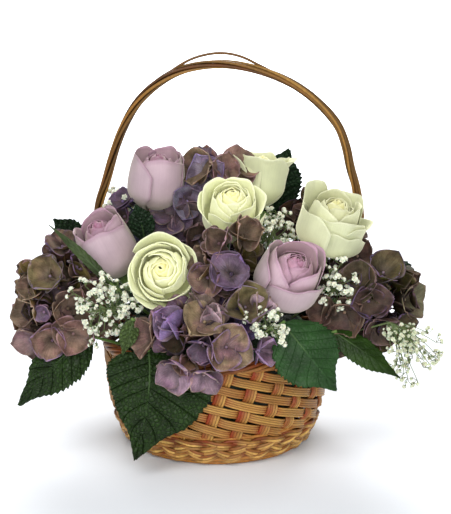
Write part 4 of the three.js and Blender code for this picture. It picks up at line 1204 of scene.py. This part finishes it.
LEAF_GREEN = rgb(28, 46, 14)
LEAF_UNDER = rgb(70, 92, 52)
YOUNG_GREEN = rgb(62, 78, 40)
LEAF_SHADES = {"leaf_small_front": YOUNG_GREEN, "leaf_right_narrow": rgb(30, 50, 12),
               "leaf_spear_left": rgb(46, 58, 28), "leaf_front_right": rgb(30, 58, 24),
               "leaf_back_top": rgb(22, 40, 22), "leaf_middle": rgb(22, 40, 22),
               "leaf_far_left": rgb(26, 44, 24), "leaf_far_right": rgb(26, 42, 22)}
SMOOTH_LEAVES = {"leaf_right_narrow", "leaf_spear_left", "leaf_front_right"}
LEAF_THICKNESS = 0.5
SIDE_VEINS = 7.5
CELL = 4.6  # from one bulge between the veins to the next, across the leaf
HEART_LEAF = "leaf_front_left"
HEART_LEAN = -0.24  # how much narrower its left half is


def leaf(name, seed):
    """A toothed leaf on its stalk, quilted between its side veins."""
    base, over, tip, half, up, teeth = LEAVES[name]
    base, over, tip = (np.array(point, float) for point in (base, over, tip))
    surface = Surface()
    draw = np.random.default_rng(seed)
    t = np.linspace(0, 1, teeth * 5 + 1)[:, None]
    u = np.linspace(-1, 1, 29)[None]
    edge = np.abs(u)
    rib = (1 - t) ** 2 * base + 2 * (t * (1 - t)) * over + t ** 2 * tip
    way = unit(np.gradient(rib, axis=0))
    side = unit(np.cross(way, unit(up)))
    face = np.cross(side, way)
    heart = name == HEART_LEAF
    outline = np.sin(math.pi * lerp(0.03, 0.985, t) ** (0.5 if heart else 0.72)) ** 0.8
    outline = outline * (1 - 0.4 * smooth((t - 0.6) / 0.35))
    saw = (t * teeth) % 1.0 - 0.6
    tooth = 1 + saw * np.clip((edge - 0.86) / 0.14, 0, 1) * min(0.13, 3.2 / half)
    width = half * outline * tooth * (1 + (HEART_LEAN * u if heart else 0))
    forward = lerp(-0.1, 0.3, t) if heart else 0.22
    count = t * SIDE_VEINS - 1.4 * edge ** 0.85
    inner = np.clip(edge * 7, 0, 1) * (1 - edge ** 6)
    bulge = np.abs(np.sin(math.pi * count))
    quilt = (bulge ** 0.7 - 0.6) * inner * min(1.5, half * 0.05)
    cells = np.abs(np.sin(math.pi * edge * half / CELL)) * bulge * inner
    relief = 0.3 if name in SMOOTH_LEAVES else 1.0
    wave = 0.05 * half * np.sin(t * 7 + u * 2) * edge
    ruffle = 0.035 * half * np.sin(t * 26 + u * 3) * edge ** 3
    rise = wave + ruffle - 0.2 * edge * width + relief * (quilt + 0.5 * cells)
    grid = stand(together(u * width, rise, forward * edge * width),
                 rib[:, None], side[:, None], face[:, None], way[:, None])
    green = LEAF_SHADES.get(name, LEAF_GREEN) * draw.uniform(0.9, 1.1)
    tint = green * lerp(0.9, 1.15, edge)[..., None]
    mark = together(t, u, count, relief)
    surface.plate(grid, LEAF_THICKNESS, tint, mark, lerp(tint, LEAF_UNDER, 0.6))
    stem_to(surface, base, PETIOLE_RADIUS, 3, lerp(green, CALYX_GREEN, 0.5))
    ribs = np.linspace(0, len(t) - 3, 16).astype(int)
    under = rib[ribs] - face[ribs] * LEAF_THICKNESS
    tint = lerp(green, LEAF_UNDER, 0.5)
    round_stick(surface, under, np.linspace(1.3, 0.35, 16), 6, tint, (0.5, 0.5, 0.3, 0))
    return surface


UNDERGROWTH = 30
UNDERGROWTH_HEIGHT = 129
UNDERGROWTH_GREEN = rgb(26, 40, 22)


def undergrowth():
    """Small dark leaves that lie between the blooms, over the foam and the basket's rim."""
    surface = Surface()
    draw = np.random.default_rng(9)
    t = np.linspace(0, 1, 15)[:, None]
    u = np.linspace(-1, 1, 9)[None]
    side = np.abs(u)
    for k in range(UNDERGROWTH):
        way = outward(k * TURN / UNDERGROWTH * 3 + draw.uniform(-0.12, 0.12))
        reach = lerp(draw.uniform(48, 66), draw.uniform(108, 122), t)
        low = UNDERGROWTH_HEIGHT + draw.uniform(0, 8)
        height = low + 40 * t * (1 - t) * draw.uniform(0.2, 1) - 4 * t
        width = draw.uniform(13, 17) * np.sin(math.pi * (0.04 + 0.95 * t) ** 0.8)
        lift = height - 3.0 * side + 0.8 * np.sin(t * 40) * side
        grid = stand(together(reach, u * width, lift), 0, way, np.cross([0, 0, 1], way),
                     np.array([0, 0, 1.0]))
        tint = UNDERGROWTH_GREEN * draw.uniform(0.8, 1.3)
        surface.plate(grid, LEAF_THICKNESS, tint, together(t, u, t * 6 - side, 0.8))
    return surface


# ---------------------------------------------------------------- baby's breath

BREATH_WHITE = rgb(232, 234, 214)
BREATH_HEART = rgb(176, 188, 126)
TWIG_GREEN = rgb(92, 108, 62)
WHORLS = ((5, 1.0, 0.1), (5, 0.86, 0.75), (4, 0.56, 1.7))  # petals, size and how cupped
CUP_OUTLINE = np.array([(0.12, -0.7), (0.3, -0.4), (0.36, 0.05)])  # as shares of the radius
FLOWER_SIZES = [1.8, 2.6, 3.1, 3.5]
SIZE_ODDS = [0.2, 0.25, 0.3, 0.25]
TWIG_RADII = np.linspace(0.5, 0.36, 8)
FLOWER_STALK = 0.26
FLOWER_THICKNESS = 0.28


def whorl(petals, radius, cup, phase):
    """One ruffled whorl of petals as a grid in the flower's own frame."""
    turn = np.linspace(0, TURN, petals * 4 + 1)[None] + phase
    v = np.linspace(0.12, 1, 4)[:, None]
    reach = radius * v * (1 - 0.3 * np.cos(turn * petals / 2) ** 2 * v)
    rise = radius * (cup * v ** 1.6 + 0.12 * np.sin(turn * petals + 1) * v ** 2)
    return together(reach * np.cos(turn), reach * np.sin(turn), rise), v


def small_flower(surface, centre, axis, radius, green, draw):
    """A double white flower in a small green cup; green is how far it is from full bloom."""
    side = across_of(axis)
    over = np.cross(axis, side)
    mark = (0, 0, draw.random(), 0)
    for petals, size, cup in WHORLS:
        grid, v = whorl(petals, radius * size, cup, draw.uniform(0, 3))
        full = smooth(v * 2.4)[..., None] * (1 - green * draw.uniform(0.2, 1.0))
        tint = lerp(BREATH_HEART, BREATH_WHITE, full) * draw.uniform(0.86, 1.0)
        surface.plate(stand(grid, centre, side, over, axis), FLOWER_THICKNESS, tint, mark)
    button(surface, centre, axis, CUP_OUTLINE * radius, TWIG_GREEN, mark)


def spray(name, seed):
    """A branching spray: twigs leave the stem in turn, and fork to small flowers."""
    at, radii, flowers, hub = SPRAYS[name]
    centre = np.array(at, float)
    radii = np.array(radii, float)
    surface = Surface()
    draw = np.random.default_rng(seed)
    reach = radii.min()
    way = stem_way(hub if hub else centre)
    end = np.array(hub, float) if hub else centre + way * 0.35 * reach
    low = end - way * (0.4 if hub else 1.05) * reach
    stem_to(surface, end, SPRAY_STEM_RADIUS, 0, TWIG_GREEN)
    forks = max(4, flowers // 4)
    fork_points = centre + even_directions(forks, seed) * radii * draw.uniform(0.35, 1.0, (forks, 1))
    if hub:
        fork_points = lerp(end, fork_points, draw.uniform(0.3, 1.15, (forks, 1)).clip(0, 1))
    fork_points = fork_points + draw.uniform(-2, 2, fork_points.shape)
    for k, fork in enumerate(fork_points):
        start = lerp(low, end, (k + 0.5) / forks)
        bow = draw.uniform(-2, 2, 3) + [0, 0, 5.0 if hub else 0.0]
        round_stick(surface, arc_path(start, fork, bow, 8), TWIG_RADII, 5, TWIG_GREEN)
    for k in range(flowers):
        fork = fork_points[k % forks]
        outwards = unit(fork - centre) * 0.5 + draw.normal(size=3) * 0.6
        spot = fork + unit(outwards) * draw.uniform(3.0, 8.0)
        if not is_free(spot, 0):
            continue
        axis = unit(unit(spot - fork) + 0.6 * unit(spot - centre) + draw.uniform(-0.4, 0.4, 3))
        size = draw.choice(FLOWER_SIZES, p=SIZE_ODDS) * (0.72 if hub else 1)
        path = arc_path(fork, spot - axis * size * 0.5, draw.uniform(-1.5, 1.5, 3), 5)
        round_stick(surface, path, FLOWER_STALK, 4, TWIG_GREEN)
        small_flower(surface, spot, axis, size, 0.5 if hub else 0.0, draw)
    return surface


# ---------------------------------------------------------------- stage

LOOK_AT = AXIS + np.array([8.5, 0, 186.5]) * MM
CAMERA_TILT = math.radians(14)
CAMERA_AWAY = 1.6
LONG_SIDE = 0.514  # metres seen along the picture's long side at the object
SENSOR = 36
FLOOR_REACH = 20
FLOOR_COLOUR = (0.86, 0.89, 0.93, 1)
SKY_COLOUR = (1, 1, 1, 1)
SKY_STRENGTH = 0.38
# Lights: the name, the place, the size in metres, the power in watts and what each faces.
LIGHTS = (("key", (-0.7, -1.4, 1.8), 1.2, 25, LOOK_AT),
          ("fill", (0.3, -2.1, 0.75), 1.4, 32, LOOK_AT),
          ("behind", (0, 3.2, 2.6), 3.0, 300, (0, 3.4, 0)))


def camera():
    data = bpy.data.cameras.new("camera")
    data.sensor_width = SENSOR
    data.lens = SENSOR * CAMERA_AWAY / LONG_SIDE
    made = put("camera", data)
    back = np.array([0, -math.cos(CAMERA_TILT), math.sin(CAMERA_TILT)])
    made.location = LOOK_AT + back * CAMERA_AWAY
    made.rotation_euler = (math.pi / 2 - CAMERA_TILT, 0, 0)
    bpy.context.scene.camera = made


def light(name, place, size, power, aim_at):
    data = bpy.data.lights.new(name, "AREA")
    data.size = size
    data.energy = power
    made = put(name, data)
    made.location = place
    aim = Vector(aim_at) - made.location
    made.rotation_euler = aim.to_track_quat("-Z", "Y").to_euler()


def stage():
    """The ground, the even light of the sky and the lights."""
    mesh = bpy.data.meshes.new("floor")
    corners = ((-1, -1), (1, -1), (1, 1), (-1, 1))
    points = [(x * FLOOR_REACH, y * FLOOR_REACH, 0) for x, y in corners]
    mesh.from_pydata(points, [], [(0, 1, 2, 3)])
    floor = put("floor", mesh)
    finish = Finish("floor", Roughness=0.9, Base_Color=FLOOR_COLOUR)
    mesh.materials.append(finish.material)
    world = bpy.data.worlds.new("world")
    world.use_nodes = True
    sky = world.node_tree.nodes["Background"].inputs
    sky["Color"].default_value = SKY_COLOUR
    sky["Strength"].default_value = SKY_STRENGTH
    bpy.context.scene.world = world
    bpy.context.scene.view_settings.view_transform = "Standard"
    for setting in LIGHTS:
        light(*setting)


# ---------------------------------------------------------------- the arrangement

ROSE_SEED = 20
HEAD_SEED = 40
LEAF_SEED = 60
SPRAY_SEED = 80

camera()
stage()

cane = cane_finish()
show(weave_strips(), "weave_strips", cane, "cane", "basket_wall")
show(weave_stakes(), "weave_stakes", cane, "cane", "basket_wall")
show(basket_floor(), "basket_floor", cane, "cane", "basket_wall")
show(foot_braid(), "foot_plait", cane, "cane", "foot_braid")
show(rim_braid(), "rim_rope", cane, "cane", "rim_braid")
for k in range(len(HANDLE_SHADES)):
    show(handle_cane(k), f"handle_cane_{k + 1}", cane, "handle_cane", "handle")
show(loose_cane(), "loose_cane", cane, "handle_cane", "handle_loose_cane")

dress_solid("liner", rgb(46, 60, 44), rgb(28, 38, 28), 0.35, 40.0, 0.0006)
dress_solid("foam", rgb(66, 96, 52), rgb(30, 50, 28), 0.95, 260.0, 0.002)

stem = plain_finish("stem", 0.5, 120.0, 0.8, 1.15)
white = petal_finish("white_petal", 1.0)
lavender = petal_finish("lavender_petal", 0.3)
for index, name in enumerate(ROSES):
    petals, bloom = rose(name, ROSE_SEED + index)
    look, slot = (white, "rose_white") if "white" in name else (lavender, "rose_lavender")
    show(petals, name + "_bloom", look, slot, name)
    green = Surface()
    stem_to(green, bloom.base, STEM_RADIUS, 5)
    calyx(green, bloom)
    show(green, name + "_calyx", stem, "stem", name + "_stem")

sepal = sepal_finish()
SLOTS = {"taupe": "hydrangea_olive", "olive": "hydrangea_olive", "lilac": "hydrangea_lilac"}
for index, name in enumerate(HEADS):
    florets, neck = hydrangea(name, HEAD_SEED + index)
    show(florets, name + "_florets", sepal, SLOTS.get(HEADS[name][2], "hydrangea_mauve"), name)
    green = Surface()
    stem_to(green, neck, STEM_RADIUS)
    show(green, name + "_stalk", stem, "stem", name + "_stem")

leaf_look = leaf_finish()
for index, name in enumerate(LEAVES):
    slot = "young_leaf" if name == "leaf_small_front" else "leaf"
    show(leaf(name, LEAF_SEED + index), name + "_blade", leaf_look, slot, name)
show(undergrowth(), "undergrowth", leaf_look, "leaf")

breath = plain_finish("baby_breath", 0.6, 300.0, 0.92, 1.04, Subsurface_Weight=0.1,
                      Subsurface_Scale=0.001)
for index, name in enumerate(SPRAYS):
    show(spray(name, SPRAY_SEED + index), name + "_flowers", breath, "baby_breath", name)
